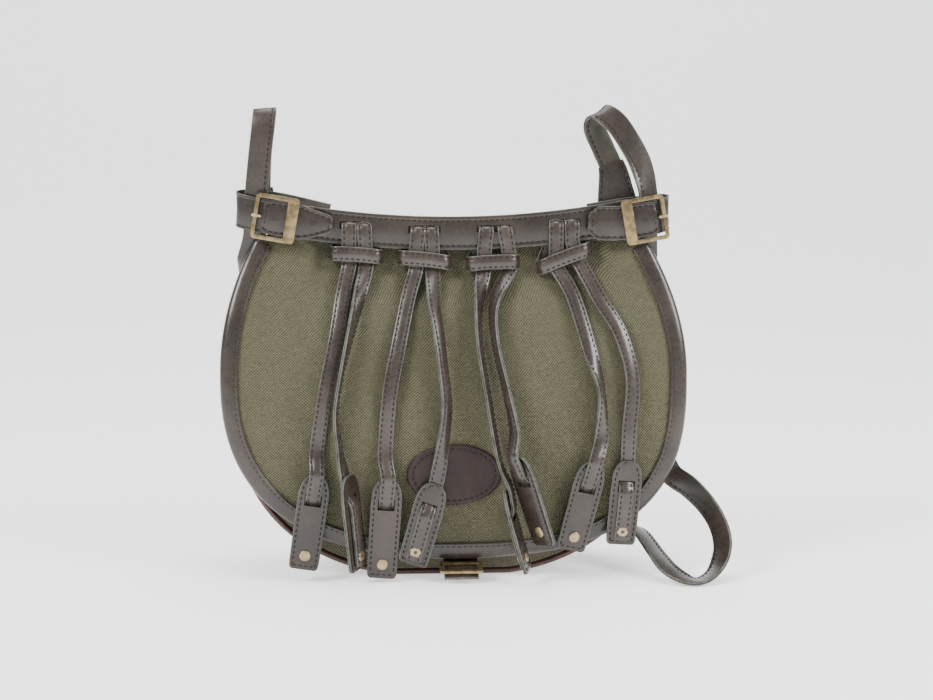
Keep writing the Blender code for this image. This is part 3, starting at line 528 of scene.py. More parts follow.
OLIVE = canvas_paint(
    "olive_canvas", (0.021, 0.019, 0.009), (0.067, 0.063, 0.034), (0.15, 0.144, 0.083)
)
KHAKI = canvas_paint(
    "khaki_canvas", (0.03, 0.026, 0.0135), (0.07, 0.064, 0.038), (0.135, 0.125, 0.077)
)
BROWN = leather_paint(
    "brown_leather", (0.0165, 0.0115, 0.0088), (0.037, 0.027, 0.021), 0.3, 0.0001, 0.2
)
THONG = leather_paint(
    "thong_leather", (0.021, 0.0145, 0.0115), (0.046, 0.0345, 0.0275), 0.28, 0.00018, 0.35
)
# The straps' reverse: painted greyer and paler than the face, partly the reverse's own duller tone
# and partly a painted sheen of light from the white floor
REVERSE_AND_PAINTED_SHEEN = leather_paint(
    "strap_reverse_with_painted_sheen", (0.03, 0.026, 0.019), (0.056, 0.05, 0.038), 0.46, 0.0001, 0.0
)
PATCH = leather_paint(
    "patch_leather", (0.0165, 0.009, 0.0085), (0.03, 0.0185, 0.017), 0.42, 0.0001, 0.0, 0.22
)
PIPING = leather_paint("red_brown_piping", (0.034, 0.013, 0.01), (0.056, 0.024, 0.018), 0.34)
EDGE = edge_paint("cut_edge", (0.115, 0.122, 0.104), (0.045, 0.045, 0.037))
CORE = edge_paint("edge_core", (0.022, 0.016, 0.013), (0.012, 0.009, 0.008))
BRASS = brass_paint("antique_brass", (0.115, 0.085, 0.04), (0.31, 0.235, 0.122))
RIVET_BRASS = brass_paint("rivet_brass", (0.22, 0.165, 0.085), (0.46, 0.36, 0.2))
THREAD = thread_paint("brown_thread", (0.008, 0.005, 0.004), (0.024, 0.016, 0.013))
# Near-black painted shade standing for the depth of the punched holes and of the rivet rings' sunk
# middles
HOLE_SHADE = edge_paint("painted_hole_shade", (0.012, 0.01, 0.009), (0.004, 0.003, 0.003))
# A strap's finishes: its face, cut edge, core and reverse
# Its reverse is the greyer finish that holds the painted sheen
LEATHER_PAINTED_SHEEN_BACKED = (BROWN, EDGE, CORE, REVERSE_AND_PAINTED_SHEEN)
LEATHER_BOTH = (BROWN, EDGE, CORE, BROWN)
THONG_BOTH = (THONG, EDGE, CORE, THONG)


def mix(low, high, share):
    return low + (high - low) * share


def square_to(along, way):
    """The way turned at right angles to along."""
    return (way - along * way.dot(along)).normalized()


def slope(path, index):
    """The way a path runs at one of its points."""
    ahead, behind = path[min(index + 1, len(path) - 1)], path[max(index - 1, 0)]
    return (ahead - behind).normalized()


def smooth_step(low, high, value):
    share = min(1.0, max(0.0, (value - low) / (high - low)))
    return share * share * (3 - 2 * share)


def look_up(rows, height):
    """The columns of a table at a height, eased between its rows with the rows' own slopes."""
    last = len(rows) - 1
    index = 0
    while index < last - 1 and height > rows[index + 1][0]:
        index += 1
    low, high = rows[index], rows[index + 1]
    span = high[0] - low[0]
    share = min(1.0, max(0.0, (height - low[0]) / span))
    before, after = rows[max(0, index - 1)], rows[min(last, index + 2)]
    square, cube = share * share, share**3
    values = []
    for column in range(1, len(low)):
        rise_low = (high[column] - before[column]) / (high[0] - before[0]) * span
        rise_high = (after[column] - low[column]) / (after[0] - low[0]) * span
        values.append(
            (2 * cube - 3 * square + 1) * low[column]
            + (cube - 2 * square + share) * rise_low
            + (3 * square - 2 * cube) * high[column]
            + (cube - square) * rise_high
        )
    return values


def smooth_path(rows, steps):
    """A smooth curve through all columns of the rows, with steps samples between two rows."""
    path = []
    last = len(rows) - 1
    for index in range(last):
        first, second = Vector(rows[index]), Vector(rows[index + 1])
        before = Vector(rows[index - 1]) if index else first * 2 - second
        after = Vector(rows[index + 2]) if index + 2 <= last else second * 2 - first
        for step in range(steps):
            t = step / steps
            path.append(
                0.5
                * (
                    first * 2
                    + (second - before) * t
                    + (before * 2 - first * 5 + second * 4 - after) * t**2
                    + (first * 3 - before - second * 3 + after) * t**3
                )
            )
    path.append(Vector(rows[last]))
    return path


def half_moon_point(angle, half_width, centre_z, drop, rise, powers):
    """A point of a half moon's edge: round above its widest line, squarer below it."""
    sine, cosine = math.sin(angle), math.cos(angle)
    power = powers[sine >= 0][cosine >= 0]
    across = half_width * math.copysign(abs(cosine) ** (2 / power), cosine)
    up = math.copysign(abs(sine) ** (2 / power), sine)
    return across, centre_z + up * (rise if sine >= 0 else drop)


def half_moon_edge(size, top_z, inset, count, shift=0.0, floor=None):
    """The edge from its top left end round the bottom to its top right end, moved inwards."""
    _, centre_z, _, rise, _ = size
    start = math.pi - math.asin((top_z - centre_z) / rise)
    end = 2 * math.pi + math.asin((top_z - centre_z) / rise)
    points = []
    for index in range(count + 1):
        angle = mix(start, end, index / count)
        x, z = half_moon_point(angle, *size)
        x_on, z_on = half_moon_point(angle + 0.004, *size)
        x_back, z_back = half_moon_point(angle - 0.004, *size)
        along = Vector((x_on - x_back, z_on - z_back)).normalized()
        x, z = x - along.y * inset, z + along.x * inset
        if floor is not None:
            z = max(z, floor)
        points.append((x + shift, z))
    return points


def band_low(x):
    """The height of the band's lower edge."""
    return BAND_LOW_Z + BAND_END_LIFT * min(1.0, abs(x) / BAND_HALF_LENGTH) ** 2


def band_front(x):
    return BAND_FRONT_Y + 5.0 * (x / 150.0) ** 2


def flap_side(z, side):
    """How far across the flap's left (-1) or right (1) edge is at a height."""
    half_width, centre_z, drop, rise, powers = FLAP_SIZE
    ratio = (z - centre_z) / (rise if z >= centre_z else drop)
    power = powers[ratio >= 0][side > 0]
    share = max(0.0, 1 - min(1.0, abs(ratio)) ** power) ** (1 / power)
    return FLAP_SHIFT + side * half_width * share


def fold_height(x, z):
    fade = smooth_step(36, 90, z) * (1 - smooth_step(215, 262, z))
    total = 0.0
    for place, width, height in FOLDS:
        total += height * math.exp(-(((x - place) / width) ** 2))
    return total * fade


def hitch_room(x, z):
    room = 0.0
    for place in HANGER_X.values():
        room = max(room, 1 - smooth_step(26, 38, abs(x - place)))
    return HITCH_ROOM * room * smooth_step(-44, -24, z - band_low(x))


def flap_front(x, z):
    """The flap's front face, from its swell, its folds and the room behind the band."""
    edge, middle = look_up(FLAP_ROWS, z)
    side = 1 if x > FLAP_SHIFT else -1
    half_width = max(20.0, abs(flap_side(min(z, 255.0), side) - FLAP_SHIFT))
    inside = max(0.0, 1 - ((x - FLAP_SHIFT) / half_width) ** 2)
    low = edge + (middle - edge) * inside - fold_height(x, z) * inside
    past_end = smooth_step(BAND_HALF_LENGTH - 1, BAND_HALF_LENGTH + 15, abs(x))
    high = band_front(min(abs(x), BAND_HALF_LENGTH)) + LEATHER + GAP - 4.0 * past_end
    share = smooth_step(band_low(x) - 16, band_low(x) - 2, z)
    return mix(low, high, share) + hitch_room(x, z)


def link(name, data, *materials):
    item = bpy.data.objects.new(name, data)
    bpy.context.scene.collection.objects.link(item)
    for material in materials:
        data.materials.append(material)
    return item


def attach(item, slot, *nodes):
    """The piece rides with the bag and stands for its nodes; its slot is not used."""
    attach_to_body(item, "root")
    if nodes:
        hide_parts(*nodes)
    return item


def write_mesh(shape, mesh):
    """Turns the faces outwards and writes them into the mesh."""
    shape.normal_update()
    bmesh.ops.recalc_face_normals(shape, faces=shape.faces)
    shape.to_mesh(mesh)
    shape.free()


def polish(item, angle, *materials):
    """Gives a piece its materials and smooth faces, with edges sharper than the angle kept."""
    for material in materials:
        item.data.materials.append(material)
    item.data.shade_smooth()
    if angle:
        item.data.set_sharp_from_angle(angle=math.radians(angle))


def grid_mesh(name, rows, close=False, cap=False):
    """A grid of points in millimetres; a closed one can have its first ring filled."""
    mesh = bpy.data.meshes.new(name)
    shape = bmesh.new()
    lines = [[shape.verts.new(Vector(point) * MM) for point in row] for row in rows]
    count = len(rows[0])
    for upper, lower in zip(lines, lines[1:]):
        for index in range(count if close else count - 1):
            on = (index + 1) % count
            shape.faces.new((upper[index], lower[index], lower[on], upper[on]))
    if cap:
        shape.faces.new(lines[0])
    shape.to_mesh(mesh)
    shape.free()
    mesh.shade_smooth()
    return mesh


def grid_piece(name, rows, wall, material, offset=-1.0, close=False):
    item = link(name, grid_mesh(name, rows, close, close), material)
    solid = item.modifiers.new("wall", "SOLIDIFY")
    solid.thickness = wall * MM
    solid.offset = offset
    return item


def half_moon_rows(edge, columns, top_line=None, spare_share=0.23):
    """Rows across a half moon: each joins the edge's left point to its right point, and the last
    rows bend down to the arc of the bottom."""
    count = len(edge) - 1
    row_count = count // 2
    rows = []
    first_bottom = row_count - round(row_count * spare_share)
    low_left, low_right = edge[first_bottom], edge[count - first_bottom]
    bottom = edge[first_bottom : count - first_bottom + 1]

    def bottom_z(x):
        for (x_a, z_a), (x_b, z_b) in zip(bottom, bottom[1:]):
            if x_a <= x <= x_b:
                return mix(z_a, z_b, (x - x_a) / max(1e-6, x_b - x_a))
        return bottom[0][1]

    for index in range(first_bottom + 1):
        left, right = edge[index], edge[count - index]
        share = smooth_step(first_bottom * 0.35, first_bottom, index)
        line = []
        for column in range(columns + 1):
            across = column / columns
            x = mix(left[0], right[0], across)
            z = mix(left[1], right[1], across)
            sag = bottom_z(mix(low_left[0], low_right[0], across)) - low_left[1]
            z += sag * share
            if top_line is not None:
                rise = 1 - smooth_step(0, first_bottom * 0.3, index)
                z += (top_line(x) - top_line(left[0])) * rise
            line.append((x, z))
        rows.append(line)
    return rows


def strap_section(half, wall, low_line, high_line):
    """Points round a strap's section, from its face's low side: across, out, and which finish
    the side after the point has: 0 its face, 1 its cut edge, 2 the core, 3 its reverse."""
    face = wall / 2
    groove = 0.22
    points = [(-half + 0.5, face, 0)]
    for line, sign in ((low_line, -1), (high_line, 1)):
        if sign > 0:
            points.append((0.0, face + 0.12, 0))
        if line:
            spots = [(line - 0.9, 0.05), (line, -groove), (line + 0.9, 0.05)]
            if sign > 0:
                spots.reverse()
            points += [(sign * (half - inset), face + lift, 0) for inset, lift in spots]
    points.append((half - 0.5, face, 1))
    right = [(0.12, face - 0.12, 1), (0.0, face - 0.4, 1), (0.0, 0.22, 2), (0.3, 0.0, 2)]
    right += [(0.0, -0.22, 1), (0.0, 0.4 - face, 1), (0.12, 0.12 - face, 1), (0.5, -face, 3)]
    points += [(half - inset, out, zone) for inset, out, zone in right]
    for line, sign in ((high_line, 1), (low_line, -1)):
        if sign < 0:
            points.append((0.0, -face - 0.05, 3))
        if line:
            spots = [(line - 0.9, 0.0), (line, -groove), (line + 0.9, 0.0)]
            if sign < 0:
                spots.reverse()
            points += [(sign * (half - inset), -face - lift, 3) for inset, lift in spots]
    points.append((-half + 0.5, -face, 1))
    left = [(0.12, 0.12 - face, 1), (0.0, 0.4 - face, 1), (0.0, -0.22, 2), (0.3, 0.0, 2)]
    left += [(0.0, 0.22, 1), (0.0, face - 0.4, 1), (0.12, face - 0.12, 1)]
    points += [(-half + inset, out, zone) for inset, out, zone in left]
    return points


class Strap:
    """A flat leather strip along rows of a middle line and the way its width points."""

    def __init__(self, rows, width, wall, steps=8, flip=False, shape=None, crown=0.0):
        self.wall = wall
        self.crown = crown
        self.frames = []
        path = smooth_path(rows, steps)
        points = [Vector(sample[:3]) for sample in path]
        reach = 0.0
        for index, (point, sample) in enumerate(zip(points, path)):
            along = slope(points, index)
            across = square_to(along, Vector(sample[3:6]))
            out = along.cross(across)
            if flip:
                out = -out
            if index:
                reach += (point - self.frames[-1][0]).length
            self.frames.append((point, along, across, out, reach))
        self.length = reach
        self.half = shape or (lambda reach: width / 2)

    def rise(self, place, reach):
        """How far the strip stands up at a place across it."""
        return self.crown * (1 - (place / self.half(reach)) ** 2)

    def mesh(self, name, low_line, high_line):
        mesh = bpy.data.meshes.new(name)
        shape = bmesh.new()
        rings = []
        for point, _, across, out, reach in self.frames:
            section = strap_section(self.half(reach), self.wall, low_line, high_line)
            spots = [point + across * a + out * (b + self.rise(a, reach)) for a, b, _ in section]
            rings.append([shape.verts.new(spot * MM) for spot in spots])
        zones = [zone for _, _, zone in section]
        for first, second in zip(rings, rings[1:]):
            for index, zone in enumerate(zones):
                on = (index + 1) % len(zones)
                face = shape.faces.new((first[index], second[index], second[on], first[on]))
                face.material_index = zone
        for ring in (rings[0], rings[-1]):
            cap = shape.faces.new(ring)
            cap.material_index = 1
        write_mesh(shape, mesh)
        mesh.shade_smooth()
        mesh.set_sharp_from_angle(angle=math.radians(50))
        return mesh

    def at(self, reach):
        """The strap's frame at a distance along it."""
        for first, second in zip(self.frames, self.frames[1:]):
            if second[4] >= reach:
                share = (reach - first[4]) / max(1e-9, second[4] - first[4])
                return [first[i].lerp(second[i], share) for i in range(4)]
        return list(self.frames[-1][:4])

    def seam(self, inset, side, start=2.0, end=None, faces=(1,)):
        """Stitches beside one edge: middle, along and out of each."""
        stitches = []
        reach = start
        end = self.length - 2.0 if end is None else end
        while reach < end:
            point, along, across, out = self.at(reach)
            aside = side * (self.half(reach) - inset)
            for face in faces:
                lift = self.rise(aside, reach) + face * (self.wall / 2 - 0.05)
                place = point + across * aside + out * lift
                stitches.append((place, along, out * face))
            reach += STITCH_PITCH
        return stitches

    def seams(self, inset):
        """A seam beside each edge, on both faces."""
        return self.seam(inset, -1, faces=(1, -1)) + self.seam(inset, 1, faces=(1, -1))


def thread_piece(name, stitches, length=STITCH_LENGTH):
    """Many short stitches in one piece: each is a small spindle laid in its seam."""
    mesh = bpy.data.meshes.new(name)
    shape = bmesh.new()
    for place, along, out in stitches:
        side = along.cross(out).normalized()
        spots = [place + along * length / 2 * end - out * 0.2 for end in (-1, 1)]
        tips = [shape.verts.new(spot * MM) for spot in spots]
        rings = []
        for end in (-1, 1):
            centre = place + along * length * 0.3 * end
            ring = []
            for a, b in ((1, 0), (0, 1), (-1, 0), (0, -0.6)):
                spot = centre + side * a * STITCH_RADIUS + out * b * STITCH_RADIUS
                ring.append(shape.verts.new(spot * MM))
            rings.append(ring)
        for index in range(4):
            on = (index + 1) % 4
            shape.faces.new((rings[0][index], rings[1][index], rings[1][on], rings[0][on]))
            shape.faces.new((tips[0], rings[0][index], rings[0][on]))
            shape.faces.new((tips[1], rings[1][on], rings[1][index]))
    write_mesh(shape, mesh)
    mesh.shade_smooth()
    attach(link(name, mesh, THREAD), "brown_leather")


def strap_piece(name, strap, low_line, high_line, nodes, finishes):
    """A leather strip with pressed seam lines, standing for its nodes."""
    item = link(name, strap.mesh(name, low_line, high_line), *finishes)
    return attach(item, "brown_leather", *nodes)


def box_cutter(name, centre, size, axes):
    """A cutter box with its middle and size in millimetres, on its own three axes."""
    mesh = bpy.data.meshes.new(name)
    shape = bmesh.new()
    bmesh.ops.create_cube(shape, size=1.0)
    for vert in shape.verts:
        place = Vector(centre)
        for part, length, axis in zip(vert.co, size, axes):
            place = place + axis * (part * length)
        vert.co = place * MM
    write_mesh(shape, mesh)
    return link(name, mesh, CORE)


def select_only(item):
    bpy.ops.object.select_all(action="DESELECT")
    bpy.context.view_layer.objects.active = item
    item.select_set(True)


def apply_modifiers(item):
    select_only(item)
    for modifier in list(item.modifiers):
        bpy.ops.object.modifier_apply(modifier=modifier.name)
    item.select_set(False)


def cut(item, cutter):
    """Cuts the box out of the piece for good."""
    boolean = item.modifiers.new("cut", "BOOLEAN")
    boolean.operation = "DIFFERENCE"
    boolean.object = cutter
    boolean.solver = "EXACT"
    apply_modifiers(item)
    bpy.data.objects.remove(cutter, do_unlink=True)


def make_camera():
    data = bpy.data.cameras.new("camera")
    camera = link("camera", data)
    bpy.context.scene.camera = camera
    data.lens = CAMERA_LENS
    aim = Vector(CAMERA_AIM) * MM
    azimuth, elevation = math.radians(CAMERA_AZIMUTH), math.radians(CAMERA_ELEVATION)
    level = math.cos(elevation)
    back = Vector((math.sin(azimuth) * level, -math.cos(azimuth) * level, math.sin(elevation)))
    camera.location = aim + back * CAMERA_DISTANCE
    camera.rotation_euler = (-back).to_track_quat("-Z", "Y").to_euler()


def make_studio():
    """A pale floor that rises into a backdrop, a soft sky and three large soft lights."""
    paint = Paint("pale_floor", Roughness=0.85, Specular_IOR_Level=0.1, Emission_Strength=0.8)
    paint.join(paint.shader.inputs["Emission Color"], (1.0, 1.0, 1.0))
    tone = paint.cloud(paint.place(), 1.3, 2.0)
    paint.finish(paint.blend(tone, (0.88, 0.88, 0.88), (0.93, 0.93, 0.93)))
    rows = [[(x, back, up) for x in FLOOR_COLUMNS] for back, up in FLOOR_ROWS]
    floor = link("floor", grid_mesh("floor", rows), paint.material)
    smooth = floor.modifiers.new("smooth", "SUBSURF")
    smooth.levels = 2
    smooth.render_levels = 2
    world = bpy.data.worlds.new("studio")
    bpy.context.scene.world = world
    world.use_nodes = True
    sky = world.node_tree.nodes["Background"]
    sky.inputs["Color"].default_value = (1.0, 1.0, 1.0, 1.0)
    sky.inputs["Strength"].default_value = SKY_STRENGTH
    for name, place, size, energy in LIGHTS:
        data = bpy.data.lights.new(name, "AREA")
        data.size = size
        data.energy = energy
        lamp = link(name, data)
        lamp.location = place
        aim = Vector(LIGHTS_AIM) - Vector(place)
        lamp.rotation_euler = aim.to_track_quat("-Z", "Y").to_euler()


def crumple(x, z):
    """Small bends of the cloth between its folds: broad ones, fine ones and a few slanting ones."""
    broad = noise.noise(Vector((x / 26, 0.0, z / 70))) * 2.5
    fine = noise.noise(Vector((x / 10, 3.0, z / 17))) * 0.45
    slant = noise.noise(Vector(((x + z * 0.55) / 17, 9.0, (z - x * 0.4) / 60))) * 1.3
    return broad + fine + slant


def make_flap():
    """The canvas cover, with its folds, small bends and the room behind the band."""
    inset = 2 * BINDING_WALL
    columns = FLAP_COLUMNS
    flat_rows = []
    for step in range(FLAP_ROWS_BEHIND_BAND):
        over = FLAP_RISE_BEHIND_BAND - 2 * step
        left, right = 2 - BAND_HALF_LENGTH, BAND_HALF_LENGTH - 2
        end_over = over
        if over > -2:
            end_over = mix(-2.0, 0.5, (over + 2) / (FLAP_RISE_BEHIND_BAND + 2))
        else:
            level = band_low(right) + over
            left, right = flap_side(level, -1) + inset, flap_side(level, 1) - inset
        line = []
        for column in range(columns + 1):
            x = mix(left, right, column / columns)
            line.append((x, band_low(x) + mix(over, end_over, smooth_step(102, 112, abs(x)))))
        flat_rows.append(line)
    edge = half_moon_edge(FLAP_SIZE, 238.0, inset, 200, FLAP_SHIFT)
    flat_rows += half_moon_rows(edge, columns, band_low)
    rows = []
    for line in flat_rows:
        row = []
        for x, z in line:
            level = min(z, 255.0)
            calm = smooth_step(0, 26, min(flap_side(level, 1) - x, x - flap_side(level, -1)))
            calm *= smooth_step(30, 52, z) * (1 - smooth_step(-14, -2, z - band_low(x)))
            aside, above = x - PATCH_PLACE[0], z - PATCH_PLACE[1]
            away = math.hypot(aside / PATCH_HALF[0], above / PATCH_HALF[1])
            calm *= smooth_step(1.0, 1.5, away)
            row.append((x, flap_front(x, z) + crumple(x, z) * calm, z))
        rows.append(row)
    item = grid_piece("flap_cover", rows, CANVAS, OLIVE)
    attach(item, "olive_canvas", "flap")


def panel_rows(edge, grain, depth):
    """Rows of a pocket panel: depth gives a place's y from how far inside the edge it lies."""
    rows = []
    for line in half_moon_rows(edge, PANEL_COLUMNS):
        left, right = line[0][0], line[-1][0]
        row = []
        for x, z in line:
            inside = 1 - (2 * (x - left) / (right - left) - 1) ** 2
            across, seed, up, height = grain
            soft = noise.noise(Vector((x / across, seed, z / up))) * height * min(1.0, inside * 3)
            row.append((x, depth(x, z, inside, soft), z))
        rows.append(row)
    return rows


def make_front_panel():
    def depth(x, z, inside, soft):
        front, _, swell, _ = look_up(BODY_ROWS, z)
        return front - swell * inside - CANVAS / 2 + soft

    edge = half_moon_edge(BODY_SIZE, MOUTH_Z, 2 * PIPING_RADIUS + GAP, 140, BODY_SHIFT, 5.4)
    item = grid_piece("pocket_front", panel_rows(edge, (26, 7.0, 30, 1.2), depth), CANVAS, KHAKI)
    attach(item, "body_canvas", "front_panel")


def make_back_panel():
    def depth(x, z, inside, soft):
        _, back, _, swell = look_up(BODY_ROWS, z)
        free = back + swell * inside + CANVAS / 2 + soft
        sewn = band_front(x) + LEATHER + HITCH_ROOM + 2 * CANVAS + 3 * GAP
        return mix(free, sewn, smooth_step(248, 262, z))

    edge = half_moon_edge(BODY_SIZE, BACK_TOP_Z, 2 * PIPING_RADIUS + GAP, 160, BODY_SHIFT, 5.4)
    rows = [row[::-1] for row in panel_rows(edge, (30, 11.0, 34, 1.3), depth)]
    item = grid_piece("pocket_back", rows, CANVAS, KHAKI)
    attach(item, "body_canvas", "back_panel")


def make_gusset():
    """The canvas strip round the pocket: it lies flat where the bag stands."""
    rows = []
    edge = half_moon_edge(BODY_SIZE, GUSSET_TOP_Z, 0.0, 240, BODY_SHIFT, 0.0)
    room = PIPING_RADIUS + GAP
    steps = 12
    for x, z in edge:
        front, back, _, _ = look_up(BODY_ROWS, z)
        first, second = front + room, max(front + room + 6, back - room)
        lift = smooth_step(4, 30, z)
        row = []
        for step in range(steps + 1):
            share = step / steps
            bulge = math.sin(math.pi * share) * 2.2 * lift
            pucker = noise.noise(Vector((x / 16, share * 3, z / 16)))
            pucker *= lift * math.sin(math.pi * share)
            outwards = Vector((x - BODY_SHIFT, 0.0, (z - BODY_SIZE[1]))).normalized()
            row.append(Vector((x, mix(first, second, share), z)) - outwards * (bulge + pucker))
        rows.append(row)
    item = grid_piece("pocket_gusset", rows, CANVAS + 0.5, KHAKI, 1.0)
    attach(item, "body_canvas", "gusset")


def make_piping(name, side, top_z, node):
    """A leather cord of round section along the pocket's edge."""
    edge = half_moon_edge(BODY_SIZE, top_z, PIPING_RADIUS, 200, BODY_SHIFT, PIPING_RADIUS + 0.1)
    centres = [Vector((x, look_up(BODY_ROWS, z)[side], z)) for x, z in edge]
    rows = []
    for index, centre in enumerate(centres):
        along = slope(centres, index)
        across = square_to(along, BACKWARDS)
        out = along.cross(across)
        row = []
        for sector in range(12):
            angle = 2 * math.pi * sector / 12
            row.append(centre + (across * math.cos(angle) + out * math.sin(angle)) * PIPING_RADIUS)
        rows.append(row)
    mesh = grid_mesh(name, rows, close=True)
    attach(link(name, mesh, PIPING), "red_brown_piping", node)


def make_flap_binding():
    """Leather folded over the flap's edge, with one seam beside its inner edge."""
    face = ((BINDING_WIDTH, -1.45), (BINDING_WIDTH - 1.2, -1.75), (BINDING_WIDTH - 2.6, -1.4))
    face += ((BINDING_WIDTH - 4.0, -1.75), (6.5, -2.0), (3.6, -1.95), (1.6, -1.5), (0.5, -0.5))
    back = ((0.0, 0.9), (0.4, 2.2), (1.5, 3.3), (4.0, 3.65), (BINDING_WIDTH - 3, 3.6))
    lines = []
    for inset, depth in face + back:
        edge = half_moon_edge(FLAP_SIZE, BINDING_TOP_Z, inset, 300, FLAP_SHIFT)
        lines.append([(x, flap_front(x, z) + depth, z) for x, z in edge])
    item = grid_piece("binding", lines, BINDING_WALL, BROWN, 0.0)
    attach(item, "brown_leather", "flap_binding")
    seam = half_moon_edge(FLAP_SIZE, BINDING_TOP_Z - 2.5, BINDING_WIDTH - 2.6, 900, FLAP_SHIFT)
    line = [Vector((x, flap_front(x, z) - 2.1, z)) for x, z in seam]
    thread_piece("binding_stitches", spaced(line, -BACKWARDS))


def spaced(line, out, pitch=STITCH_PITCH):
    """Stitches a pitch apart along a line of points."""
    stitches = []
    reach, due = 0.0, pitch / 2
    for first, second in zip(line, line[1:]):
        length = (second - first).length
        while reach + length >= due:
            place = first.lerp(second, (due - reach) / length)
            along = (second - first).normalized()
            stitches.append((place, along, square_to(along, out)))
            due += pitch
        reach += length
    return stitches


def make_top_band():
    rows = []
    columns = 120
    for index in range(columns + 1):
        x = mix(-BAND_HALF_LENGTH, BAND_HALF_LENGTH, index / columns)
        rows.append((x, band_front(x) + LEATHER / 2, band_low(x) + BAND_HEIGHT / 2, 0.0, 0.0, 1.0))
    strap = Strap(rows, BAND_HEIGHT, LEATHER, 1)
    band = strap_piece("band", strap, *BAND_SEAMS, ["top_band"], LEATHER_PAINTED_SHEEN_BACKED)
    axes = (RIGHTWARDS, BACKWARDS, UPWARDS)
    for key, x in HANGER_X.items():
        low = band_low(x)
        centre = (x, band_front(x) + LEATHER / 2, low + (SLIT_LOW + SLIT_HIGH) / 2)
        size = (2 * SLIT_HALF_WIDTH - 1.0, 4 * LEATHER, SLIT_HIGH - SLIT_LOW - 1.6)
        cut(band, box_cutter("slit_" + key, centre, size, axes))
    low_seam, high_seam = BAND_SEAMS
    thread_piece("band_stitches", strap.seam(low_seam, -1) + strap.seam(high_seam, 1))


def make_patch():
    """The bare oval patch: a flat face with a rounded rim and a seam round it."""
    sectors = 96
    centre_x, centre_z = PATCH_PLACE

    def spot(share, angle, lift):
        x = centre_x + PATCH_HALF[0] * share * math.cos(angle)
        z = centre_z + PATCH_HALF[1] * share * math.sin(angle)
        return x, flap_front(x, z) - PATCH_GAP - PATCH_WALL - lift, z

    rings = ((0.05, 0.0), (0.25, 0.0), (0.5, 0.0), (0.74, 0.0), (0.82, 0.05), (0.865, -0.22))
    rings += ((0.91, 0.05), (0.96, 0.0), (0.985, -0.3), (1.0, -0.9))
    turns = [-2 * math.pi * index / sectors for index in range(sectors)]
    rows = [[spot(share, angle, lift) for angle in turns] for share, lift in rings]
    patch = grid_piece("patch", rows, PATCH_WALL * 0.6, PATCH, 1.0, True)
    attach(patch, "brown_leather", "oval_patch")
    line = [Vector(spot(0.865, -2 * math.pi * index / 720, 0.1)) for index in range(721)]
    thread_piece("patch_stitches", spaced(line, -BACKWARDS))


def tab_frame(key):
    """A tab's top middle point, its way down, its way across and its way out of its front."""
    top_x, top_z, low_x, low_z, turn, room_top, room_low, _ = TABS[key]
    top = Vector((top_x, flap_front(top_x, top_z) - room_top, top_z))
    low_y = flap_front(low_x, max(low_z, 24.0)) - room_low
    low = Vector((low_x, low_y, low_z))
    down = (low - top).normalized()
    angle = math.radians(turn)
    across = square_to(down, Vector((math.cos(angle), math.sin(angle), 0.0)))
    out = down.cross(across)
    if out.y > 0 and abs(turn) < 90:
        out = -out
    return top, down, across, out, (low - top).length


def tab_shape(length):
    rows = list(TAB_SHOULDER) + [(length - up, share) for up, share in TAB_FOOT]

    def half(reach):
        for (low, share_low), (high, share_high) in zip(rows, rows[1:]):
            if reach <= high + 1e-6:
                share = mix(share_low, share_high, max(0.0, reach - low) / max(1e-6, high - low))
                return TAB_WIDTH / 2 * share
        return TAB_WIDTH / 2 * rows[-1][1]

    return rows, half


def make_tab(key):
    """A two-ply tab: parallel sides, a round shoulder, a slit for its thong and a seam round it."""
    top, down, across, out, length = tab_frame(key)
    rows, half = tab_shape(length)
    path = [(*(top + down * reach), *across) for reach, _ in rows]
    flip = down.cross(across).dot(out) < 0
    strap = Strap(path, TAB_WIDTH, TAB_WALL, 1, flip, half)
    tab = strap_piece("tab_piece_" + key, strap, SEAM, SEAM, ["tab_" + key], LEATHER_BOTH)
    axes = (across, out, down)
    slit = (THONG_WIDTH + 1.6, 5 * TAB_WALL, TAB_SLIT_HEIGHT)
    cut(tab, box_cutter("tab_slit_" + key, top + down * TAB_SLIT_DROP, slit, axes))
    stitches = []
    for side in (-1, 1):
        stitches += strap.seam(SEAM, side, 6.0, length - 3.5, (1, -1))
    reach = -TAB_WIDTH / 2 + 5.0
    while reach < TAB_WIDTH / 2 - 4.0:
        for face in (1, -1):
            place = top + down * (length - 3.0) + across * reach + out * face * TAB_WALL / 2
            stitches.append((place, across, out * face))
        reach += STITCH_PITCH
    thread_piece("tab_stitches_" + key, stitches)


def edit_mode(item, kind="FACE"):
    select_only(item)
    bpy.ops.object.mode_set(mode="EDIT")
    bpy.ops.mesh.select_mode(type=kind)
    bpy.ops.mesh.select_all(action="DESELECT")


def pick(item, wanted):
    """Selects the faces of an item in edit mode that a test wants."""
    shape = bmesh.from_edit_mesh(item.data)
    for face in shape.faces:
        if wanted(face):
            face.select_set(True)
    bmesh.update_edit_mesh(item.data)


def faces_up(face):
    return face.normal.z > 0.9


def start_cylinder(name, vertices, radius, depth):
    """A cylinder in edit mode, to be shaped on."""
    bpy.ops.mesh.primitive_cylinder_add(vertices=vertices, radius=radius * MM, depth=depth * MM)
    item = bpy.context.object
    item.name = name
    edit_mode(item)
    return item


def press(inset, height):
    """Insets the selected face and moves it up or down."""
    bpy.ops.mesh.inset(thickness=inset * MM)
    bpy.ops.transform.translate(value=(0, 0, height * MM))


def sink(inset, depth):
    """Insets the selected face and pushes a hole down from it."""
    bpy.ops.mesh.inset(thickness=inset * MM)
    bpy.ops.mesh.extrude_region_move(TRANSFORM_OT_translate={"value": (0, 0, -depth * MM)})


def leave_edit():
    bpy.ops.object.mode_set(mode="OBJECT")
    bpy.context.object.select_set(False)


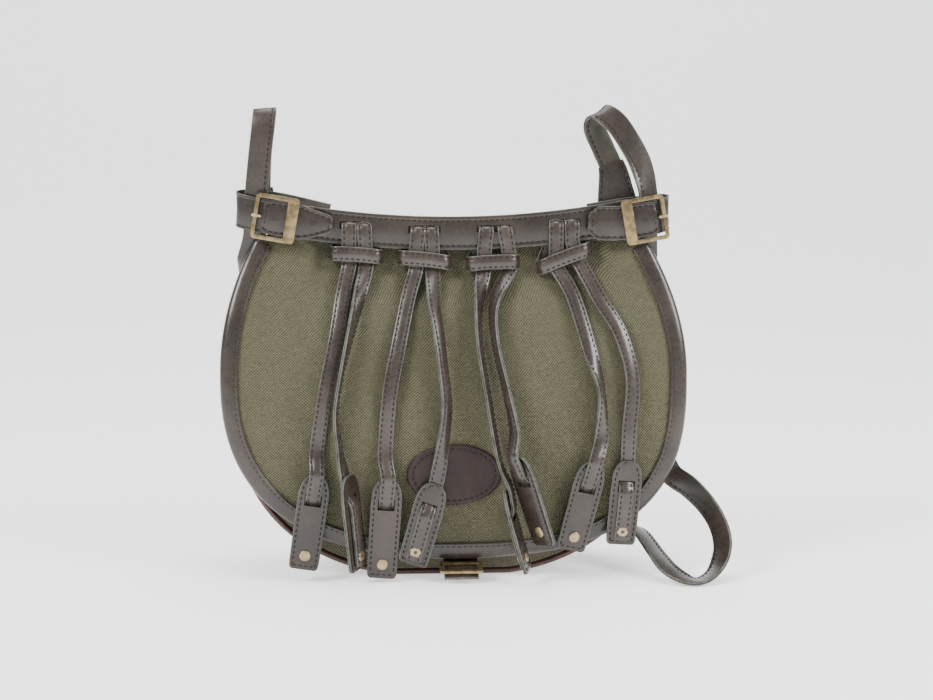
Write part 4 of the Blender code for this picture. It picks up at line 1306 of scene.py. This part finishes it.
def settle(item, centre, axes):
    """Puts a piece modelled round the origin on its own axes at its place, into its mesh."""
    across, up, out = axes
    for vert in item.data.vertices:
        part = vert.co.copy()
        vert.co = Vector(centre) * MM + across * part.x + up * part.y + out * part.z
    shape = bmesh.new()
    shape.from_mesh(item.data)
    write_mesh(shape, item.data)
    item.data.update()


def frame_buckle(name, outer, corner, bars, wall, centre, axes, node):
    """A cast frame from a plane: round corners, an inset opening, a wall and softened edges."""
    left, right, low, high = outer
    wide, narrow, side = bars

    def on_wide_bar(face):
        middle = face.calc_center_median()
        return faces_up(face) and middle.x < (left + wide) * MM and abs(middle.y) < side * MM

    bpy.ops.mesh.primitive_plane_add(size=1.0)
    item = bpy.context.object
    item.name = name
    item.data.name = name
    for vert in item.data.vertices:
        across, up = mix(left, right, vert.co.x + 0.5), mix(low, high, vert.co.y + 0.5)
        vert.co = Vector((across, up, 0.0)) * MM
    edit_mode(item, "VERT")
    bpy.ops.mesh.select_all(action="SELECT")
    bpy.ops.mesh.bevel(offset=corner * MM, segments=5, affect="VERTICES")
    bpy.ops.mesh.select_mode(type="FACE")
    bpy.ops.mesh.select_all(action="SELECT")
    bpy.ops.mesh.inset(thickness=side * MM, depth=0.0)
    shape = bmesh.from_edit_mesh(item.data)
    inner = next(face for face in shape.faces if face.select)
    for vert in inner.verts:
        middle = (left + right) / 2 * MM
        if vert.co.x < middle:
            vert.co.x += (wide - side) * MM
        else:
            vert.co.x += (side - narrow) * MM
    bmesh.update_edit_mesh(item.data)
    bpy.ops.mesh.delete(type="FACE")
    bpy.ops.mesh.select_all(action="SELECT")
    bpy.ops.mesh.extrude_region_move(TRANSFORM_OT_translate={"value": (0, 0, wall * MM)})
    if wide > 2 * narrow:
        bpy.ops.mesh.select_all(action="DESELECT")
        pick(item, on_wide_bar)
        press(2.3, 0.6)
    leave_edit()
    for vert in item.data.vertices:
        vert.co.z -= wall / 2 * MM
    bevel = item.modifiers.new("soft", "BEVEL")
    bevel.width = 0.7 * MM
    bevel.segments = 3
    bevel.angle_limit = math.radians(40)
    apply_modifiers(item)
    settle(item, centre, axes)
    polish(item, 38, BRASS)
    attach(item, "aged_brass", node)


def make_rivet(key):
    """A domed cap on the tab's outer face, and its punched ring on the other face, whose sunk
    middle is painted near black as painted shade.
    """
    top, down, across, out, length = tab_frame(key)
    centre = top + down * (length - RIVET_RISE)
    cap = start_cylinder("rivet_cap_" + key, 32, RIVET_RADIUS, 1.1)
    pick(cap, faces_up)
    press(0.9, 0.45)
    press(1.4, 0.25)
    leave_edit()
    bevel = cap.modifiers.new("soft", "BEVEL")
    bevel.width = 0.25 * MM
    bevel.segments = 2
    apply_modifiers(cap)
    seat = TAB_WALL / 2 + 0.55
    shown = TABS[key][7]
    settle(cap, centre + shown * out * seat, (across, shown * down, shown * out))
    polish(cap, None, RIVET_BRASS)
    attach(cap, "aged_brass", "rivet_" + key)
    ring = start_cylinder("rivet_ring_" + key, 32, RING_RADIUS, 0.7)
    pick(ring, faces_up)
    press(1.0, 0.35)
    sink(1.7, 0.9)
    leave_edit()
    polish(ring, None, RIVET_BRASS, HOLE_SHADE)
    # The faces of the ring's sunk middle take the near-black painted shade
    for face in ring.data.polygons:
        reach = max(ring.data.vertices[index].co.xy.length for index in face.vertices)
        if reach < (RING_RADIUS - 2.6) * MM:
            face.material_index = 1
    over = TAB_WALL / 2 + THONG_WALL + THONG_GAP + 0.35
    settle(ring, centre - shown * out * over, (across, -shown * down, -shown * out))
    polish(ring, 40)
    attach(ring, "aged_brass")


def leg_rows(key, side):
    """A leg from under its hitch down to its tab's slit and along the tab's hidden face."""
    rows = []
    for z, x, room, turn in LEGS[key]:
        angle = math.radians(turn)
        y = flap_front(x, z) - room - THONG_WALL / 2
        rows.append((x, y, z, -side * math.cos(angle), -side * math.sin(angle), 0.0))
    top, down, across, out, length = tab_frame(key)
    shown = TABS[key][7]
    layer = TAB_WALL / 2 + THONG_WALL / 2 + THONG_GAP
    slit = top + down * TAB_SLIT_DROP
    half_slit = TAB_SLIT_HEIGHT / 2
    sign = -side
    for along, depth in (
        (-TAB_SLIT_DROP - 3.0, shown * (layer + 1.2)),
        (-half_slit - 8.0, shown * (layer + 0.6)),
        (-half_slit + 1.0, shown * (layer - 0.6)),
        (half_slit - 1.0, -shown * (layer - 0.6)),
        (half_slit + 8.0, -shown * (layer + 0.2)),
        (length - TAB_SLIT_DROP - 4.0, -shown * layer),
    ):
        point = slit + down * along + out * depth
        rows.append((*point, *(across * sign)))
    return rows


def hitch_rows(key, side):
    """One side of a hitch, from the leg up over the band, behind it and round to the front."""
    rows = []
    x = HANGER_X[key[0]]
    for index, (out, depth, height, wide, deep) in enumerate(HITCH_ROWS):
        spread = LEG_SPREAD.get(key, 0.0) * max(0.0, 1 - index / 2)
        low_shift, high_shift = HITCH_SHIFT.get(key, (0.0, 0.0))
        shift = mix(low_shift, high_shift, smooth_step(1, 4, index))
        spread += shift * (1 - smooth_step(5, 8, index))
        place = x + side * (out + spread)
        bight = smooth_step(6, 9, index)
        level = band_low(place) + height + HITCH_LIFT[key[0]] * bight
        level -= HITCH_TILT[key[0]] * (HITCH_REACH - side * out) * bight
        rows.append((place, band_front(place) + depth, level, -side * wide, 0.0, -deep))
    return rows


def make_hanger(number):
    """A thong hitched over the band: its two legs run down to their tabs."""
    x = HANGER_X[number]
    left = leg_rows(number + "a", -1)[::-1] + hitch_rows(number + "a", -1)
    right = hitch_rows(number + "b", 1)[::-1] + leg_rows(number + "b", 1)
    out, depth, height, _, deep = HITCH_MIDDLE
    level = band_low(x) + height + HITCH_LIFT[number] - HITCH_TILT[number] * HITCH_REACH
    middle = (x + out, band_front(x) + depth, level, 0.0, 0.0, -deep)
    strap = Strap(left + [middle] + right, THONG_WIDTH, THONG_WALL, 7, True, crown=THONG_CROWN)
    nodes = ["hanger_" + number]
    strap_piece("thong_" + number, strap, THONG_SEAM, THONG_SEAM, nodes, THONG_BOTH)
    thread_piece("thong_stitches_" + number, strap.seams(THONG_SEAM), THONG_STITCH)


def ring_line(name, side, lift):
    """The ring strap's dense middle line, raised by lift out of its own middle."""
    path = smooth_path([Vector(row) for row in RING_ROWS[name]], 8)
    rows = []
    for index, point in enumerate(path):
        along = slope(path, index)
        up = square_to(along, UPWARDS)
        spot = point + along.cross(up) * lift
        rows.append((side * spot.x, spot.y, spot.z, side * up.x, up.y, up.z))
    return rows


def make_ring_strap(name, side):
    """The loop round a top corner: an under layer, and its pointed end laid over it."""
    half = RING_STRAP_WIDTH / 2
    flip = side < 0
    under = Strap(ring_line(name, side, -0.35)[6:], RING_STRAP_WIDTH - 0.6, 1.7, 1, flip)
    strap_piece(name + "_ring", under, SEAM, SEAM, [name + "_ring_strap"], LEATHER_PAINTED_SHEEN_BACKED)
    tip_length, blunt = RING_TIPS[name]
    end = BUCKLE_X[name] + BUCKLE_SIZE[0] / 2 - BUCKLE_BAR - 2.6
    rows = [row for row in ring_line(name, side, 1.17)[:48] if abs(row[0]) < end]
    over = Strap(rows, RING_STRAP_WIDTH, 1.3, 3, flip)

    def over_half(reach):
        rest = over.length - reach
        if reach < 2.2:
            return mix(blunt - 2.6, blunt, math.sin(reach / 2.2 * math.pi / 2))
        if reach < tip_length:
            return mix(blunt, half, ((reach - 2.2) / (tip_length - 2.2)) ** 0.85)
        if rest < 7.0:
            near = 1 - rest / 7.0
            return half - 3.0 * (1 - math.sqrt(max(0.0, 1 - near**2))) - near
        return half

    over.half = over_half
    strap_piece(name + "_strap_end", over, END_SEAM, END_SEAM, [], LEATHER_BOTH)
    stitches = []
    for edge in (-1, 1):
        stitches += over.seam(END_SEAM, edge, 3.0, over.length - 2)
    for spot, reaches in ((3.2, (-2.2, 2.2)), (over.length - 2.6, (-8.8, -4.4, 0.0, 4.4, 8.8))):
        point, _, across, out = over.at(spot)
        for reach in reaches:
            stitches.append((point + across * reach + out * 0.6, across, out))
    thread_piece(name + "_strap_end_stitches", stitches)
    make_painted_hole_shade(name + "_hole_inner", over, tip_length * 0.62)
    make_painted_hole_shade(name + "_hole_outer", over, over.length - 9.5)


def make_painted_hole_shade(name, strap, reach):
    """A small punched hole with a pressed rim, seated in a strap's face: a shallow disc painted
    near black all over as the hole's painted shade.
    """
    point, along, across, out = strap.at(reach)
    item = start_cylinder(name, 20, HOLE_RADIUS, 0.3)
    pick(item, faces_up)
    sink(0.35, 0.25)
    leave_edit()
    settle(item, point + out * (strap.wall / 2 + 0.14), (along, across, out))
    polish(item, 40, HOLE_SHADE)
    attach(item, "brown_leather")


def buckle_axes(name, side):
    """The buckle's middle and axes from its ring strap's own line."""
    path = smooth_path([Vector(row) for row in RING_ROWS[name][:6]], 8)
    index = min(range(len(path)), key=lambda spot: abs(path[spot].x - BUCKLE_X[name]))
    along = (path[index + 6] - path[index - 6]).normalized()
    along.x *= side
    up = square_to(along, UPWARDS)
    out = along.cross(up)
    if out.y > 0:
        out = -out
    middle = Vector((side * path[index].x, path[index].y, path[index].z))
    return middle, along, up, out


def make_buckle(name, side):
    """A brass frame with a thin outer bar, a broad inner bar and its prong."""
    middle, along, up, out = buckle_axes(name, side)
    half_wide, half_high = BUCKLE_SIZE[0] / 2, BUCKLE_SIZE[1] / 2
    outer = (-half_wide, half_wide, -half_high, half_high)
    centre = middle + out * (RING_STRAP_WALL / 2 + 1.3 + 0.8)
    bars = (BUCKLE_WIDE_BAR, BUCKLE_BAR, 3.2)
    axes = (along, up, out)
    frame_buckle(name + "_frame", outer, 3.2, bars, 2.6, centre, axes, name + "_buckle")
    prong = start_cylinder(name + "_prong", 16, PRONG_RADIUS, 6.6)
    pick(prong, lambda face: abs(face.normal.z) > 0.9)
    bpy.ops.mesh.inset(thickness=0.45 * MM, use_individual=True)
    leave_edit()
    for vert in prong.data.vertices:
        if vert.co.xy.length < 0.9 * MM:
            vert.co.z += math.copysign(0.5 * MM, vert.co.z)
    base = middle + along * (half_wide - 2.4) + out * (RING_STRAP_WALL / 2 + 3.3)
    settle(prong, base, (up, out, along))
    polish(prong, 50, RIVET_BRASS)
    attach(prong, "aged_brass", name + "_buckle_prong")


def make_shoulder_strap():
    """One long strap, with a single seam beside one edge, from lug to lug."""
    strap = Strap(STRAP_ROWS, STRAP_WIDTH, STRAP_WALL, 9)
    # The strap's reverse face takes the greyer finish with the painted sheen
    strap_piece("long_strap", strap, LONG_SEAM, None, ["shoulder_strap"], LEATHER_PAINTED_SHEEN_BACKED)
    thread_piece("long_strap_stitches", strap.seam(LONG_SEAM, -1, faces=(1, -1)))


def make_lug(name, rows, node, side):
    """A tapered leather piece sewn on the strap's end, in front of it (-1) or behind it (1)."""
    path = smooth_path([Vector(row) for row in rows], 8)
    start = Vector(path[0])
    start += (start - Vector(path[1])).normalized() * LUG_TAIL
    points = [Vector(sample[:3]) for sample in [start] + path]
    lines = []
    reach = 0.0
    for index, point in enumerate(points):
        if index:
            reach += (point - points[index - 1]).length
        if reach > LUG_HEIGHT:
            break
        along = slope(points, index)
        across = square_to(along, Vector(path[max(index - 1, 0)][3:6]))
        out = along.cross(across)
        if out.y * side < 0:
            out = -out
        middle = point + out * (STRAP_WALL / 2 + LUG_WALL / 2 + GAP)
        lines.append((*middle, *across))

    def half(reach):
        return mix(LUG_BOTTOM_WIDTH, LUG_TOP_WIDTH, min(1.0, reach / LUG_HEIGHT)) / 2

    strap = Strap(lines, LUG_BOTTOM_WIDTH, LUG_WALL, 2, False, half)
    strap_piece(name, strap, SEAM, SEAM, [node], LEATHER_BOTH)
    thread_piece(name + "_stitches", strap.seams(SEAM))


def make_closure():
    """The short strap and buckle that hold the flap down at the hem."""
    rows = [(*row, 1.0, 0.0, 0.0) for row in CLOSURE_ROWS]
    strap = Strap(rows, CLOSURE_WIDTH, LEATHER, 8)
    strap_piece("closing_strap", strap, SEAM, SEAM, ["closure_strap"], LEATHER_PAINTED_SHEEN_BACKED)
    thread_piece("closing_strap_stitches", strap.seams(SEAM))
    low, high = Vector(CLOSURE_ROWS[7]), Vector(CLOSURE_ROWS[6])
    along = (low - high).normalized()
    out = along.cross(RIGHTWARDS)
    if out.z < 0:
        out = -out
    centre = high.lerp(low, 0.6) + out * (LEATHER / 2 + 1.1 + GAP)
    half = CLOSURE_WIDTH / 2 + 3.3
    outer, bars, axes = (-half, half, -8.0, 8.0), (3.0, 3.0, 3.0), (RIGHTWARDS, along, out)
    frame_buckle("closing_buckle_frame", outer, 2.4, bars, 2.2, centre, axes, "closure_buckle")


def build():
    make_camera()
    make_studio()
    make_back_panel()
    make_gusset()
    make_front_panel()
    make_piping("front_piping_cord", 0, GUSSET_TOP_Z - 14, "front_piping")
    make_piping("back_piping_cord", 1, GUSSET_TOP_Z - 4, "back_piping")
    make_flap()
    make_flap_binding()
    make_top_band()
    make_patch()
    for name, side in (("left", -1), ("right", 1)):
        make_ring_strap(name, side)
        make_buckle(name, side)
    make_shoulder_strap()
    make_lug("right_lug", STRAP_ROWS[:4], "right_strap_lug", -1)
    make_lug("left_lug", STRAP_ROWS[:-5:-1], "left_strap_lug", 1)
    make_closure()
    for number in HANGER_X:
        make_hanger(number)
    for key in TABS:
        make_tab(key)
        make_rivet(key)


build()
